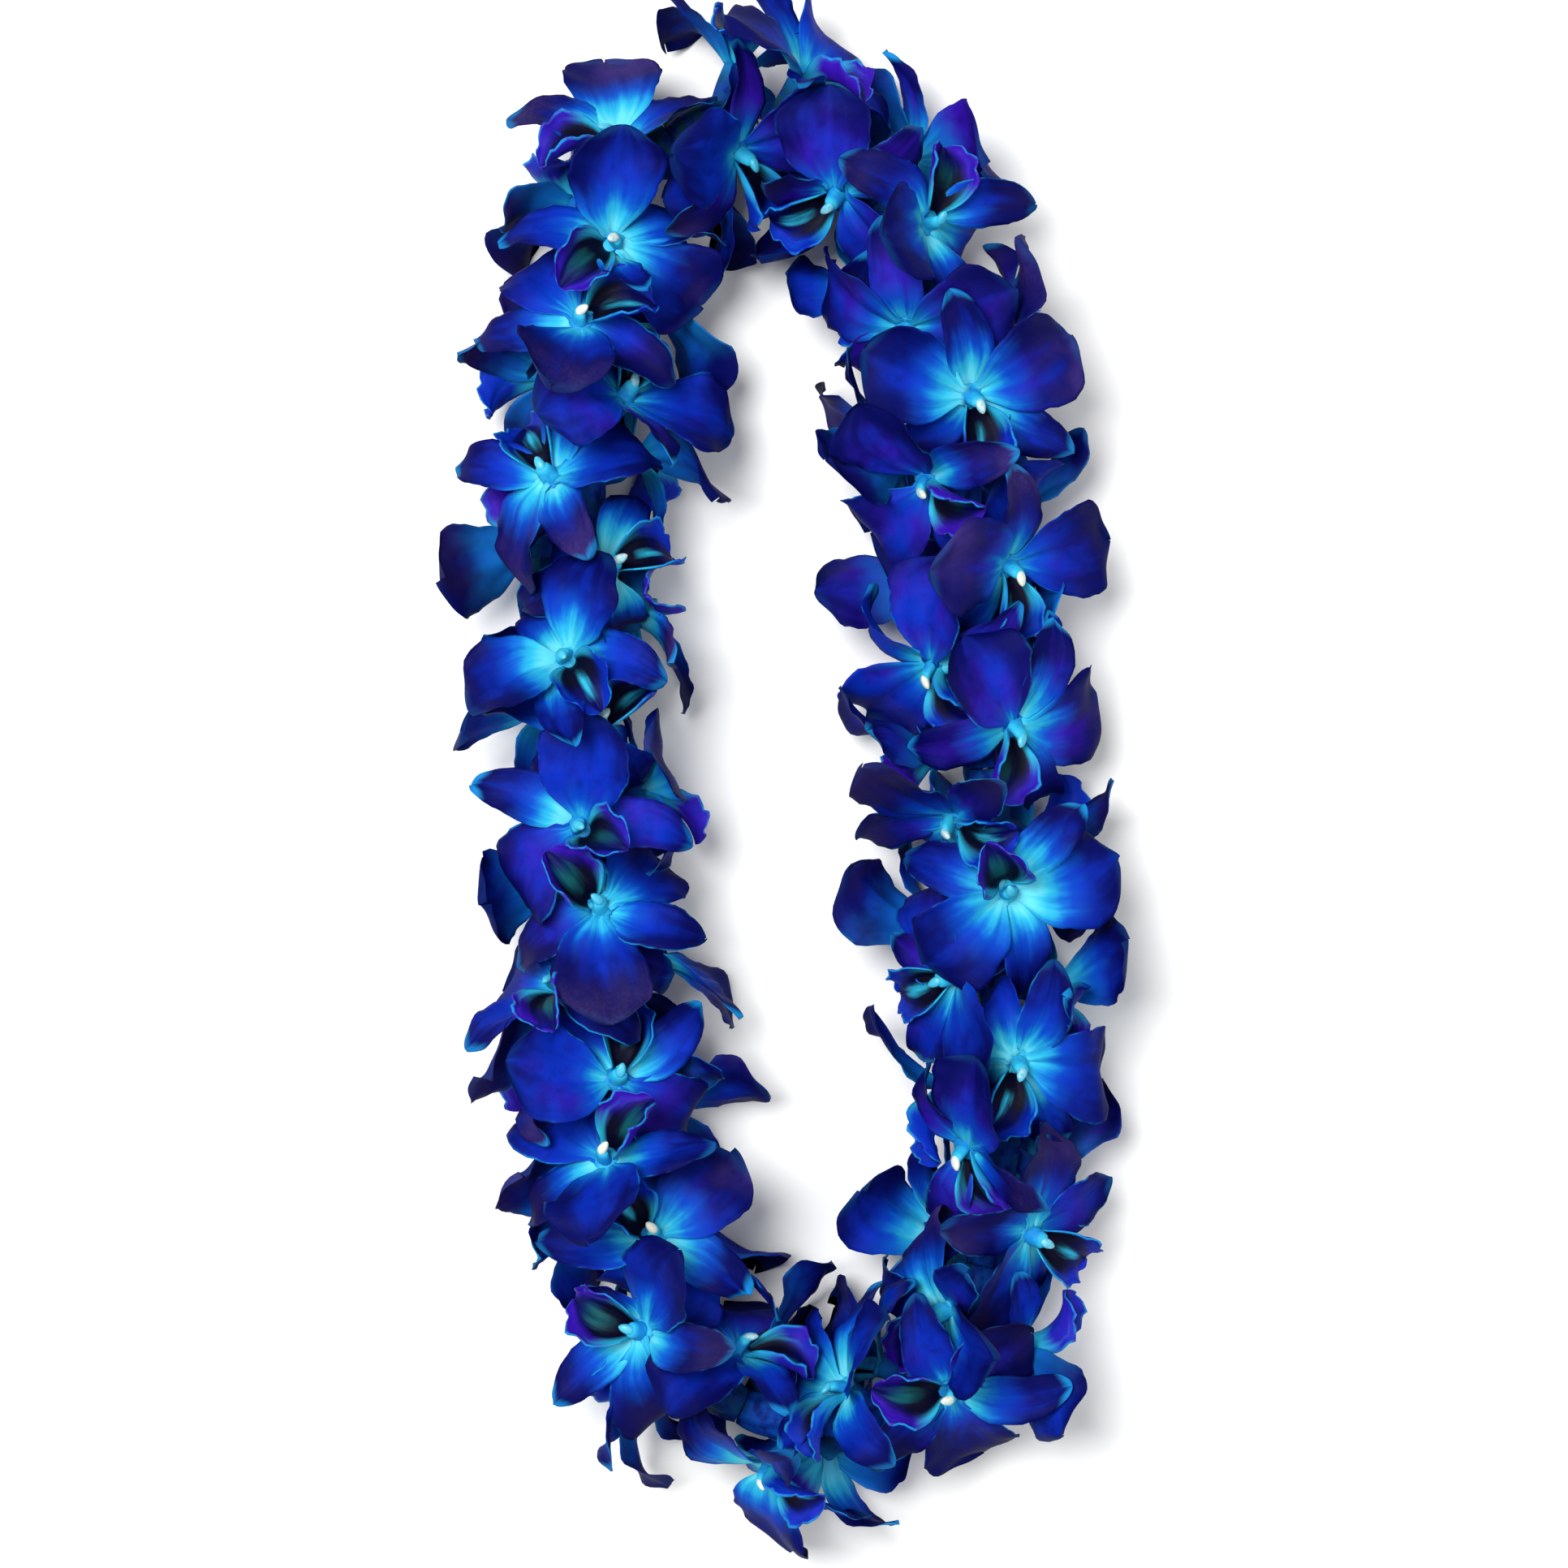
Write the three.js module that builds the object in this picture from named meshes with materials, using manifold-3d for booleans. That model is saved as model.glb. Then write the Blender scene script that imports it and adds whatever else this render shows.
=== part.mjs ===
// A fresh flower lei: a closed oval garland of orchid blooms threaded on one cotton string.
// It lies flat. Millimetres, +Z up, the long axis along Y, the wearer's neck end towards +Y.
import * as THREE from 'three';
import Module from 'manifold-3d';

const wasm = await Module();
wasm.setup();

// The loop that the string follows
const HALF_WIDTH = 60.5;
const HALF_LENGTH = 198;
const SQUARENESS = 3;
const EGG = 0.05; // the neck end is this much narrower
const LEAN = -0.055; // sideways shift per length, because the garland was laid down by hand
const STRING_HEIGHT = 27;
const LOOP_SAMPLES = 1440;

// The string and the spurs packed round it
const RINGS = 36; // each ring is two blooms side by side
const STRING_RADIUS = 0.9;
const STRING_SIDES = 5;
const SECTION_TURN = 0.4; // radians that round sections are turned
const BORE_RADIUS = 1.75;
const PACK_RADIUS = [5.6, 7.2, 5.6]; // at the ends and in the middle of one ring's spurs
const PACK_SIDES = 5;
const PACK_GAP = 0.4; // between one ring's spurs and the next
const KNOT_RADII = [1.2, 2.3, 2.3, 1.2];
const KNOT_HALF = 2.6;
const TAIL = 9; // cut ends of the string beyond the knot
const TAIL_AZIMUTHS = [155, 205]; // degrees round the string from straight up

// Where the blooms sit round the string, in degrees, and along their ring, as a share of it
const HIGH = { azimuth: 36, vary: 30, share: 0.41 };
const LOW = { azimuth: 112, vary: 26, share: 0.74 };
const SHARE_VARY = 0.07;
const LEAN_ALONG = { middle: 27, vary: 15 };
const HUB_HEIGHT = 16.5; // from the string to the middle of a bloom
const FOOT_BACK = 0.3; // share of its lean by which the foot of a bloom is set back
const TURN_VARY = 80;
const UPENDED = 0.28; // share of the blooms that are turned half round

// One bloom
const HUB_RADIUS = 4;
const HUB_THICK = 1.6;
const BLADE_THICK = 0.8;
const COLUMN = { height: 6, radius: 2.1, forward: 1.2 };
const NECK_END = { height: 3.6, radius: 2.3 };

// Its petals, sepals and lip. Each is widest at a share of its length, and bends back on its way.
const PETAL = {
  length: 34,
  half: 14.3,
  base: 0.15,
  widest: 0.62,
  fall: 2,
  rise: 20,
  bend: 58,
  cup: 0.16,
  spread: 1,
  rows: [3, 3],
  places: [0.5, 0.84],
};
const SEPAL = {
  length: 33,
  half: 7.2,
  base: 0.3,
  widest: 0.42,
  fall: 1.7,
  rise: 4,
  bend: 50,
  cup: 0.12,
  spread: 1,
  rows: [2, 2],
  places: [0.4, 0.76],
};
const LIP = {
  length: 22,
  half: 8,
  base: 0.3,
  widest: 0.5,
  fall: 1.7,
  rise: 46,
  bend: 78,
  cup: 0.95,
  spread: 0.6,
  rows: [3, 3],
  places: [0.4, 0.76],
};
const GROW = 1.2; // how roundly a blade widens
const CUP_POWER = 1.5;

// Blades in turning order. Angles in degrees from the bloom's right-hand side.
const BLADES = [
  { kind: PETAL, at: 22 },
  { kind: SEPAL, at: 90 },
  { kind: PETAL, at: 158 },
  { kind: SEPAL, at: 222 },
  { kind: LIP, at: 270 },
  { kind: SEPAL, at: 318 },
];

// How blades find their places
const SPREAD = { rise: 26, bend: 26, swing: 16, twist: 24 }; // degrees either way
const FIRST_SPREAD = 1.2; // share of the spread on the first try
const LAST_SPREAD = 2;
const LENGTH_VARY = 0.07;
const TRIES = 170;
const CALM_TRIES = 100; // tries at full size, before smaller ones
const LAST_LENGTH = 0.5; // of the full length, on the last try
const LAST_WIDTH = 0.6;
const CLEAR = 0.5; // left free round each blade
const SLIM = 0.1; // left free between blades of one bloom
const OUTER_FROM = 0.3; // where a blade is clear of its own bloom's hub, as a share of its length
const SLIM_FROM = 0.4;
const ROOT_ZONE = { radius: 9, below: 1.5, above: 3 };
const MOST_LIFT = 9; // how far the table may push a blade up

const SEED = 0.6;
const DEG = Math.PI / 180;
const UP = new THREE.Vector3(0, 0, 1);

// A repeatable random number from 0 to 1 for up to four whole numbers
function chance(a, b = 0, c = 0, d = 0) {
  const x = Math.sin(a * 12.9898 + b * 78.233 + c * 37.719 + d * 4.1414 + SEED) * 43758.5453;
  return x - Math.floor(x);
}

// One from -1 to 1
function sway(a, b, c, d) {
  return 2 * chance(a, b, c, d) - 1;
}

function loopPoint(angle) {
  const c = Math.cos(angle);
  const s = Math.sin(angle);
  const across = Math.abs(c / HALF_WIDTH) ** SQUARENESS;
  const along = Math.abs(s / HALF_LENGTH) ** SQUARENESS;
  const reach = (across + along) ** (-1 / SQUARENESS);
  const y = reach * s;
  const x = reach * c * (1 - (EGG * y) / HALF_LENGTH) + LEAN * y;
  return new THREE.Vector3(x, y, STRING_HEIGHT);
}

// Lengths along the loop from the neck end, clockwise as seen from above
const loopAngles = [];
const loopLengths = [0];
for (let i = 0; i <= LOOP_SAMPLES; i++) loopAngles.push(Math.PI / 2 - (2 * Math.PI * i) / LOOP_SAMPLES);
for (let i = 1; i <= LOOP_SAMPLES; i++) {
  const step = loopPoint(loopAngles[i]).distanceTo(loopPoint(loopAngles[i - 1]));
  loopLengths.push(loopLengths[i - 1] + step);
}
const LOOP = loopLengths[LOOP_SAMPLES];
const PITCH = LOOP / RINGS;

// The place on the string at a length, with the direction along it and the direction out of the loop
function onLoop(length) {
  const s = ((length % LOOP) + LOOP) % LOOP;
  let i = 1;
  while (i < LOOP_SAMPLES && loopLengths[i] < s) i++;
  const share = (s - loopLengths[i - 1]) / (loopLengths[i] - loopLengths[i - 1]);
  const angle = loopAngles[i - 1] + share * (loopAngles[i] - loopAngles[i - 1]);
  const along = loopPoint(angle - 1e-3).sub(loopPoint(angle + 1e-3)).normalize();
  const out = new THREE.Vector3().crossVectors(UP, along);
  return { point: loopPoint(angle), along, out };
}

// A direction square to the string: 0 is up, +90 out of the loop, -90 into it
function radial(place, degrees) {
  const a = degrees * DEG;
  return UP.clone().multiplyScalar(Math.cos(a)).addScaledVector(place.out, Math.sin(a));
}

// A closed surface under construction
class Skin {
  constructor() {
    this.points = [];
    this.faces = [];
  }

  add(point) {
    return this.points.push(point) - 1;
  }

  quad(a, b, c, d) {
    this.faces.push([a, b, c], [a, c, d]);
  }

  fan(ring) {
    for (let i = 1; i < ring.length - 1; i++) this.faces.push([ring[0], ring[i], ring[i + 1]]);
  }

  // Quads between two rings of as many points
  band(lower, upper) {
    lower.forEach((a, i) => {
      const next = (i + 1) % lower.length;
      this.quad(a, lower[next], upper[next], upper[i]);
    });
  }

  solid() {
    const mesh = new wasm.Mesh({
      numProp: 3,
      vertProperties: new Float32Array(this.points.flatMap((p) => [p.x, p.y, p.z])),
      triVerts: new Uint32Array(this.faces.flat()),
    });
    return new wasm.Manifold(mesh);
  }
}

function ringPoints(centre, right, up, radius, sides, turn = 0) {
  const points = [];
  for (let i = 0; i < sides; i++) {
    const a = turn + (2 * Math.PI * i) / sides;
    const point = centre.clone().addScaledVector(right, radius * Math.cos(a));
    points.push(point.addScaledVector(up, radius * Math.sin(a)));
  }
  return points;
}

// The six directions in which a bloom's hub has its corners, halfway between neighbouring blades
const CORNERS = BLADES.map((blade, i) => {
  const before = BLADES[(i + BLADES.length - 1) % BLADES.length].at - (i === 0 ? 360 : 0);
  return (blade.at + before) / 2;
});

// Where bloom number n sits: even ones ride high on one side, odd ones low on the other
function bloomFrame(n) {
  const ring = Math.floor(n / 2);
  const seat = n % 2 === 0 ? HIGH : LOW;
  const side = (ring + n) % 2 === 0 ? 1 : -1;
  const azimuth = side * (seat.azimuth + seat.vary * sway(n, 1));
  const lean = (LEAN_ALONG.middle + LEAN_ALONG.vary * sway(n, 3)) * DEG;
  const share = seat.share + SHARE_VARY * sway(n, 2);
  const foot = onLoop(PITCH * (ring + share) - FOOT_BACK * HUB_HEIGHT * Math.tan(lean));
  const outward = radial(foot, azimuth);
  const face = outward.clone().multiplyScalar(Math.cos(lean));
  face.addScaledVector(foot.along, Math.sin(lean)).normalize();
  const base = foot.point.clone().addScaledVector(outward, NECK_END.height);
  const centre = base.clone().addScaledVector(face, (HUB_HEIGHT - NECK_END.height) / Math.cos(lean));
  const upended = chance(n, 4) < UPENDED ? 180 : 0;
  const back = foot.along.clone().negate();
  back.addScaledVector(face, -back.dot(face)).normalize();
  const up = back.applyAxisAngle(face, (upended + TURN_VARY * sway(n, 5)) * DEG);
  const right = new THREE.Vector3().crossVectors(up, face);
  return { centre, face, up, right, base };
}

// Width of a blade at t from 0 at the hub to 1 at the tip, as a share of its half width
function profile(kind, t) {
  if (t <= kind.widest) {
    return kind.base + (1 - kind.base) * Math.sin((Math.PI / 2) * (t / kind.widest)) ** GROW;
  }
  const past = (t - kind.widest) / (1 - kind.widest);
  return Math.sqrt(Math.max(0, 1 - past ** kind.fall));
}

// The shape that a blade takes on one try. Later tries stray further, and the last ones are smaller.
function bladeShape(n, index, attempt) {
  const kind = BLADES[index].kind;
  const wild = kind.spread * (FIRST_SPREAD + ((LAST_SPREAD - FIRST_SPREAD) * attempt) / TRIES);
  const draw = (k) => wild * sway(n, index + 1, attempt, k);
  const late = Math.max(0, attempt - CALM_TRIES) / (TRIES - CALM_TRIES);
  const shorter = LENGTH_VARY * chance(n, index + 1, attempt, 9) + (1 - LAST_LENGTH) * late;
  return {
    kind,
    length: kind.length * (1 - shorter),
    half: kind.half * (1 - (1 - LAST_WIDTH) * late),
    rise: (kind.rise + SPREAD.rise * draw(1)) * DEG,
    bend: (kind.bend + SPREAD.bend * draw(2)) * DEG,
    swing: SPREAD.swing * draw(3) * DEG,
    twist: SPREAD.twist * draw(4) * DEG,
  };
}

// A blade's point at t along it and v across it, -1 to 1, with the direction through its thickness
function bladePoint(frame, index, shape, t, v) {
  const { kind, length, half, rise, bend, swing, twist } = shape;
  const a = rise - bend * t;
  const reach = HUB_RADIUS + (length * (Math.sin(rise) - Math.sin(a))) / bend;
  const height = (length * (Math.cos(a) - Math.cos(rise))) / bend;
  const heading = BLADES[index].at * DEG + swing * t;
  const out = frame.right.clone().multiplyScalar(Math.cos(heading));
  out.addScaledVector(frame.up, Math.sin(heading));
  const side = new THREE.Vector3().crossVectors(frame.face, out);
  const flat = frame.face.clone().multiplyScalar(Math.cos(a)).addScaledVector(out, -Math.sin(a));
  const [c, s] = [Math.cos(twist * t), Math.sin(twist * t)];
  const across = side.clone().multiplyScalar(c).addScaledVector(flat, s);
  const normal = flat.multiplyScalar(c).addScaledVector(side, -s);
  const width = half * profile(kind, t);
  const point = frame.centre.clone().addScaledVector(out, reach).addScaledVector(frame.face, height);
  point.addScaledVector(across, width * v);
  point.addScaledVector(normal, kind.cup * width * Math.abs(v) ** CUP_POWER);
  return { point, normal };
}

// The two faces of a blade at one point. What would go through the table lies on it.
function bladePair(frame, index, shape, t, v, thick) {
  const { point, normal } = bladePoint(frame, index, shape, t, v);
  const top = point.clone().addScaledVector(normal, thick / 2);
  const bottom = point.clone().addScaledVector(normal, -thick / 2);
  const lift = Math.max(0, -Math.min(top.z, bottom.z));
  top.z += lift;
  bottom.z += lift;
  return { top, bottom, lift };
}

// Rows of face pairs from the hub end to the tip
function bladeRows(frame, index, shape, thick) {
  const rows = shape.kind.places.map((t, i) => {
    const places = shape.kind.rows[i] === 3 ? [-1, 0, 1] : [-1, 1];
    return places.map((v) => bladePair(frame, index, shape, t, v, thick));
  });
  rows.push([bladePair(frame, index, shape, 1, 0, thick)]);
  return rows;
}

// Adds a blade's two faces and its edge to a skin, from a root row that is already there
function addBlade(skin, rootTop, rootBottom, rows) {
  const tops = [rootTop, ...rows.map((row) => row.map((pair) => skin.add(pair.top)))];
  const bottoms = [rootBottom, ...rows.map((row) => row.map((pair) => skin.add(pair.bottom)))];
  for (let r = 0; r < tops.length - 1; r++) {
    let i = 0;
    let j = 0;
    const [a, b] = [tops[r], tops[r + 1]];
    const [c, d] = [bottoms[r], bottoms[r + 1]];
    while (i < a.length - 1 || j < b.length - 1) {
      const nextA = a.length > 1 ? (i + 1) / (a.length - 1) : 2;
      const nextB = b.length > 1 ? (j + 1) / (b.length - 1) : 2;
      if (nextB < nextA) {
        skin.faces.push([a[i], b[j], b[j + 1]], [c[i], d[j + 1], d[j]]);
        j++;
      } else {
        skin.faces.push([a[i], b[j], a[i + 1]], [c[i], c[i + 1], d[j]]);
        i++;
      }
    }
  }
  const edge = [];
  for (let r = 0; r < tops.length; r++) edge.push([tops[r][0], bottoms[r][0]]);
  for (let r = tops.length - 2; r >= 0; r--) edge.push([tops[r].at(-1), bottoms[r].at(-1)]);
  for (let i = 0; i < edge.length - 1; i++) {
    skin.quad(edge[i][0], edge[i][1], edge[i + 1][1], edge[i + 1][0]);
  }
}

// A blade as a solid of its own, grown by a margin, to try it against its neighbours. It starts at
// the hub's corners, or further out where from is not 0.
function looseBlade(frame, index, shape, from, margin) {
  const grown = { ...shape, half: shape.half + margin, length: shape.length + margin };
  const thick = BLADE_THICK + 2 * margin;
  const skin = new Skin();
  const corners = [index, (index + 1) % BLADES.length];
  const root =
    from === 0
      ? corners.map((corner) => hubPair(frame, corner, margin))
      : [-1, 1].map((v) => bladePair(frame, index, grown, from, v, thick));
  const rootTop = root.map((pair) => skin.add(pair.top));
  const rootBottom = root.map((pair) => skin.add(pair.bottom));
  const rows = bladeRows(frame, index, grown, thick);
  addBlade(skin, rootTop, rootBottom, rows);
  skin.quad(rootTop[0], rootTop[1], rootBottom[1], rootBottom[0]);
  const lift = Math.max(...rows.flat().map((pair) => pair.lift));
  return { solid: skin.solid(), lift };
}

// The point of a bloom's plane at a distance and a direction from a middle
function spoke(frame, middle, radius, degrees) {
  const point = middle.clone().addScaledVector(frame.right, radius * Math.cos(degrees * DEG));
  return point.addScaledVector(frame.up, radius * Math.sin(degrees * DEG));
}

// The front and back of a hub at one of its corners
function hubPair(frame, corner, margin) {
  const point = spoke(frame, frame.centre, HUB_RADIUS, CORNERS[corner]);
  const half = HUB_THICK / 2 + margin;
  const top = point.clone().addScaledVector(frame.face, half);
  const bottom = point.clone().addScaledVector(frame.face, -half);
  return { top, bottom };
}

// Hub corners, column and neck of a bloom
function stalk(skin, frame) {
  const { centre, face, up, base } = frame;
  const ring = (middle, radius) =>
    CORNERS.map((degrees) => skin.add(spoke(frame, middle, radius, degrees)));
  const above = centre.clone().addScaledVector(face, HUB_THICK / 2);
  const below = centre.clone().addScaledVector(face, -HUB_THICK / 2);
  const head = centre.clone().addScaledVector(face, COLUMN.height).addScaledVector(up, -COLUMN.forward);
  const top = ring(above, HUB_RADIUS);
  const bottom = ring(below, HUB_RADIUS);
  const cap = ring(head, COLUMN.radius);
  const foot = ring(base, NECK_END.radius);
  skin.band(top, cap);
  skin.fan(cap);
  skin.band(foot, bottom);
  skin.fan([...foot].reverse());
  return { top, bottom };
}

// Hub, column and neck as a solid of their own
function looseStalk(frame) {
  const skin = new Skin();
  const { top, bottom } = stalk(skin, frame);
  skin.band(bottom, top);
  return skin.solid();
}

// A flat disc round the hub that other blooms keep out of, so that every blade has room to start
function rootZone(frame) {
  const skin = new Skin();
  const ring = (height) => {
    const middle = frame.centre.clone().addScaledVector(frame.face, height);
    return CORNERS.map((degrees) => skin.add(spoke(frame, middle, ROOT_ZONE.radius, degrees)));
  };
  const bottom = ring(-ROOT_ZONE.below);
  const top = ring(ROOT_ZONE.above);
  skin.band(bottom, top);
  skin.fan(top);
  skin.fan([...bottom].reverse());
  return skin.solid();
}

// A bloom in one skin: each side of its hub goes on as a blade, or stays bare where a blade is missing
function wholeBloom(frame, shapes) {
  const skin = new Skin();
  const { top, bottom } = stalk(skin, frame);
  BLADES.forEach((_, i) => {
    const next = (i + 1) % BLADES.length;
    if (shapes[i]) {
      const rows = bladeRows(frame, i, shapes[i], BLADE_THICK);
      addBlade(skin, [top[i], top[next]], [bottom[i], bottom[next]], rows);
    } else {
      skin.quad(bottom[i], bottom[next], top[next], top[i]);
    }
  });
  return skin.solid();
}

// Packed spurs of one ring: a short thick tube along the string, with a bore for it
function spurs(ring) {
  const start = PITCH * ring + (ring === 0 ? KNOT_HALF + PACK_GAP : PACK_GAP / 2);
  const end = PITCH * (ring + 1) - (ring === RINGS - 1 ? KNOT_HALF + PACK_GAP : PACK_GAP / 2);
  const stations = [start, PITCH * (ring + 0.5), end];
  const skin = new Skin();
  const tube = (radii) =>
    stations.map((length, i) => {
      const { point, out } = onLoop(length);
      return ringPoints(point, out, UP, radii[i], PACK_SIDES, SECTION_TURN).map((p) => skin.add(p));
    });
  const outer = tube(PACK_RADIUS);
  const inner = tube(stations.map(() => BORE_RADIUS));
  for (let i = 0; i < stations.length - 1; i++) {
    skin.band(outer[i], outer[i + 1]);
    skin.band(inner[i + 1], inner[i]);
  }
  skin.band(inner[0], outer[0]);
  skin.band(outer.at(-1), inner.at(-1));
  return skin.solid();
}

// A rod through a few points, whose sections lie along two directions
function rod(points, radii, right, up) {
  const skin = new Skin();
  const rings = points.map((point, i) =>
    ringPoints(point, right, up, radii[i], STRING_SIDES).map((p) => skin.add(p)),
  );
  for (let i = 0; i < rings.length - 1; i++) skin.band(rings[i], rings[i + 1]);
  skin.fan([...rings[0]].reverse());
  skin.fan(rings.at(-1));
  return skin.solid();
}

// The string: a closed loop with its knot and two cut ends
function stringSolid() {
  const skin = new Skin();
  const count = 2 * RINGS;
  const rings = [];
  for (let i = 0; i < count; i++) {
    const { point, out } = onLoop((PITCH * i) / 2);
    const section = ringPoints(point, out, UP, STRING_RADIUS, STRING_SIDES, SECTION_TURN);
    rings.push(section.map((p) => skin.add(p)));
  }
  rings.forEach((ring, i) => skin.band(ring, rings[(i + 1) % count]));
  const place = onLoop(0);
  const knotPoints = KNOT_RADII.map((_, i) => {
    const share = (2 * i) / (KNOT_RADII.length - 1) - 1;
    return place.point.clone().addScaledVector(place.along, KNOT_HALF * share);
  });
  const knot = rod(knotPoints, KNOT_RADII, place.out, UP);
  const tails = TAIL_AZIMUTHS.map((degrees) => {
    const tip = place.point.clone().addScaledVector(radial(place, degrees), TAIL);
    const beside = radial(place, degrees + 90);
    return rod([place.point, tip], [STRING_RADIUS, STRING_RADIUS], place.along, beside);
  });
  return tails.reduce((whole, tail) => whole.add(tail), skin.solid().add(knot));
}

function near(a, b) {
  return a.max.every((top, k) => top >= b.min[k]) && a.min.every((low, k) => low <= b.max[k]);
}

function obstacle(solid, bloom) {
  return { solid, bloom, box: solid.boundingBox() };
}

// Blades find their places one after another. Each takes the first shape that touches nothing, and
// one that finds none is left out, like the petals that get crushed or torn off as a lei is strung.
function placeBlades(frames, obstacles) {
  const shapes = frames.map(() => []);
  const order = [];
  for (const blades of [[4], [0, 2], [1, 3, 5]]) {
    for (const parity of [0, 1]) {
      for (let n = parity; n < frames.length; n += 2) blades.forEach((b) => order.push([n, b]));
    }
  }
  for (const [n, index] of order) {
    let kept;
    for (let attempt = 0; attempt < TRIES && !kept; attempt++) {
      const shape = bladeShape(n, index, attempt);
      const fat = looseBlade(frames[n], index, shape, 0, CLEAR);
      if (fat.lift > MOST_LIFT) continue;
      const slim = looseBlade(frames[n], index, shape, SLIM_FROM, SLIM);
      const box = fat.solid.boundingBox();
      const free = obstacles.every((other) => {
        if (!near(box, other.box)) return true;
        if (other.bloom !== n) return fat.solid.intersect(other.solid).isEmpty();
        return !other.outer || slim.solid.intersect(other.outer).isEmpty();
      });
      if (free) kept = shape;
    }
    if (!kept) continue;
    shapes[n][index] = kept;
    const placed = obstacle(looseBlade(frames[n], index, kept, 0, 0).solid, n);
    placed.outer = looseBlade(frames[n], index, kept, OUTER_FROM, 0).solid;
    obstacles.push(placed);
  }
  return shapes;
}

function toMesh(solid, name, material) {
  const { vertProperties, triVerts } = solid.getMesh();
  const geometry = new THREE.BufferGeometry();
  geometry.setAttribute('position', new THREE.BufferAttribute(vertProperties, 3));
  geometry.setIndex(new THREE.BufferAttribute(triVerts, 1));
  geometry.computeVertexNormals();
  const mesh = new THREE.Mesh(geometry, material);
  mesh.name = name;
  return mesh;
}

const petalMaterial = new THREE.MeshStandardMaterial({ color: 0x1726c8, roughness: 0.55, metalness: 0 });
const stringMaterial = new THREE.MeshStandardMaterial({ color: 0xe9e6da, roughness: 0.9, metalness: 0 });

const frames = Array.from({ length: 2 * RINGS }, (_, n) => bloomFrame(n));
const packs = Array.from({ length: RINGS }, (_, ring) => spurs(ring));
const string = stringSolid();
const obstacles = [obstacle(string, -1)];
packs.forEach((pack) => obstacles.push(obstacle(pack, -1)));
frames.forEach((frame, n) => {
  obstacles.push(obstacle(looseStalk(frame), n));
  obstacles.push(obstacle(rootZone(frame), n));
});
const shapes = placeBlades(frames, obstacles);

const group = new THREE.Group();
packs.forEach((pack, ring) => {
  const blooms = [2 * ring, 2 * ring + 1].map((n) => wholeBloom(frames[n], shapes[n]));
  const pair = pack.add(blooms[0]).add(blooms[1]);
  group.add(toMesh(pair, `bloom_pair_${String(ring + 1).padStart(2, '0')}`, petalMaterial));
});
group.add(toMesh(string, 'string', stringMaterial));

// The middle of the garland's outline stands over the origin, and the garland lies on z = 0
const box = new THREE.Box3().setFromObject(group);
const middle = box.getCenter(new THREE.Vector3());
group.position.set(-middle.x, -middle.y, -box.min.z);
group.updateMatrixWorld(true);

export default group;
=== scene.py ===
"""A fresh flower lei: blue-dyed dendrobium blooms strung two abreast on a knotted cotton string.
Lengths are in millimetres in the lei's own frame until a mesh is made, and then in metres."""
import math

import bpy
import numpy as np
from mathutils import Matrix, Vector
from mathutils.kdtree import KDTree


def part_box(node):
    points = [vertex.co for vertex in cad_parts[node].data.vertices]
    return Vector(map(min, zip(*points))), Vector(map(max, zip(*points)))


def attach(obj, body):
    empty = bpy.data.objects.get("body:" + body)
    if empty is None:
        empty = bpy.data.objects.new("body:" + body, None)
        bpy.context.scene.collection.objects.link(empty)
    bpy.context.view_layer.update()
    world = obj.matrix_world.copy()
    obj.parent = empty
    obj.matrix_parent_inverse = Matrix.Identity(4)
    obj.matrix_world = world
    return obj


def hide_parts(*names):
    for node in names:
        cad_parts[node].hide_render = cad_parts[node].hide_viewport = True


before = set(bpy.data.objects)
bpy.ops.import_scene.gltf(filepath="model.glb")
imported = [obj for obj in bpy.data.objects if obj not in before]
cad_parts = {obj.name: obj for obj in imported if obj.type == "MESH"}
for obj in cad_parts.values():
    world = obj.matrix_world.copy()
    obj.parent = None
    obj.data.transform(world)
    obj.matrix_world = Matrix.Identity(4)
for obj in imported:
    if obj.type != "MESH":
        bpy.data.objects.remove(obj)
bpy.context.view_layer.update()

MM = 0.001
UP = np.array((0.0, 0.0, 1.0))
FULL_TURN = 2 * math.pi

# The loop, as in the CAD model
HALF_WIDTH = 60.5
HALF_LENGTH = 198
SQUARENESS = 3
EGG = 0.05
LEAN = -0.055
STRING_HEIGHT = 27
LOOP_SAMPLES = 1440
NUDGE = 1e-3  # radians to each side of a place on the loop, which give the direction there
RINGS = 36
STRING_RADIUS = 0.9
STRING_SIDES = 5
SECTION_TURN = 0.4
PACK_ENDS = 5.6
PACK_MIDDLE = 7.2
PACK_GAP = 0.4
BORE_RADIUS = 1.75
KNOT_RADIUS = 2.3
KNOT_HALF = 2.6
TAIL = 9
TAIL_AZIMUTHS = (155, 205)

# The blooms, as in the CAD model
HIGH = dict(azimuth=36, vary=30, share=0.41)
LOW = dict(azimuth=112, vary=26, share=0.74)
SHARE_VARY = 0.07
LEAN_MIDDLE = 27
LEAN_VARY = 15
HUB_HEIGHT = 16.5
FOOT_BACK = 0.3
TURN_VARY = 80
UPENDED = 0.28
HUB_RADIUS = 4
NECK_HEIGHT = 3.6
NECK_RADIUS = 2.3
COLUMN_HEIGHT = 6
COLUMN_FORWARD = 1.2
CAD_THICK = 0.8
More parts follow.
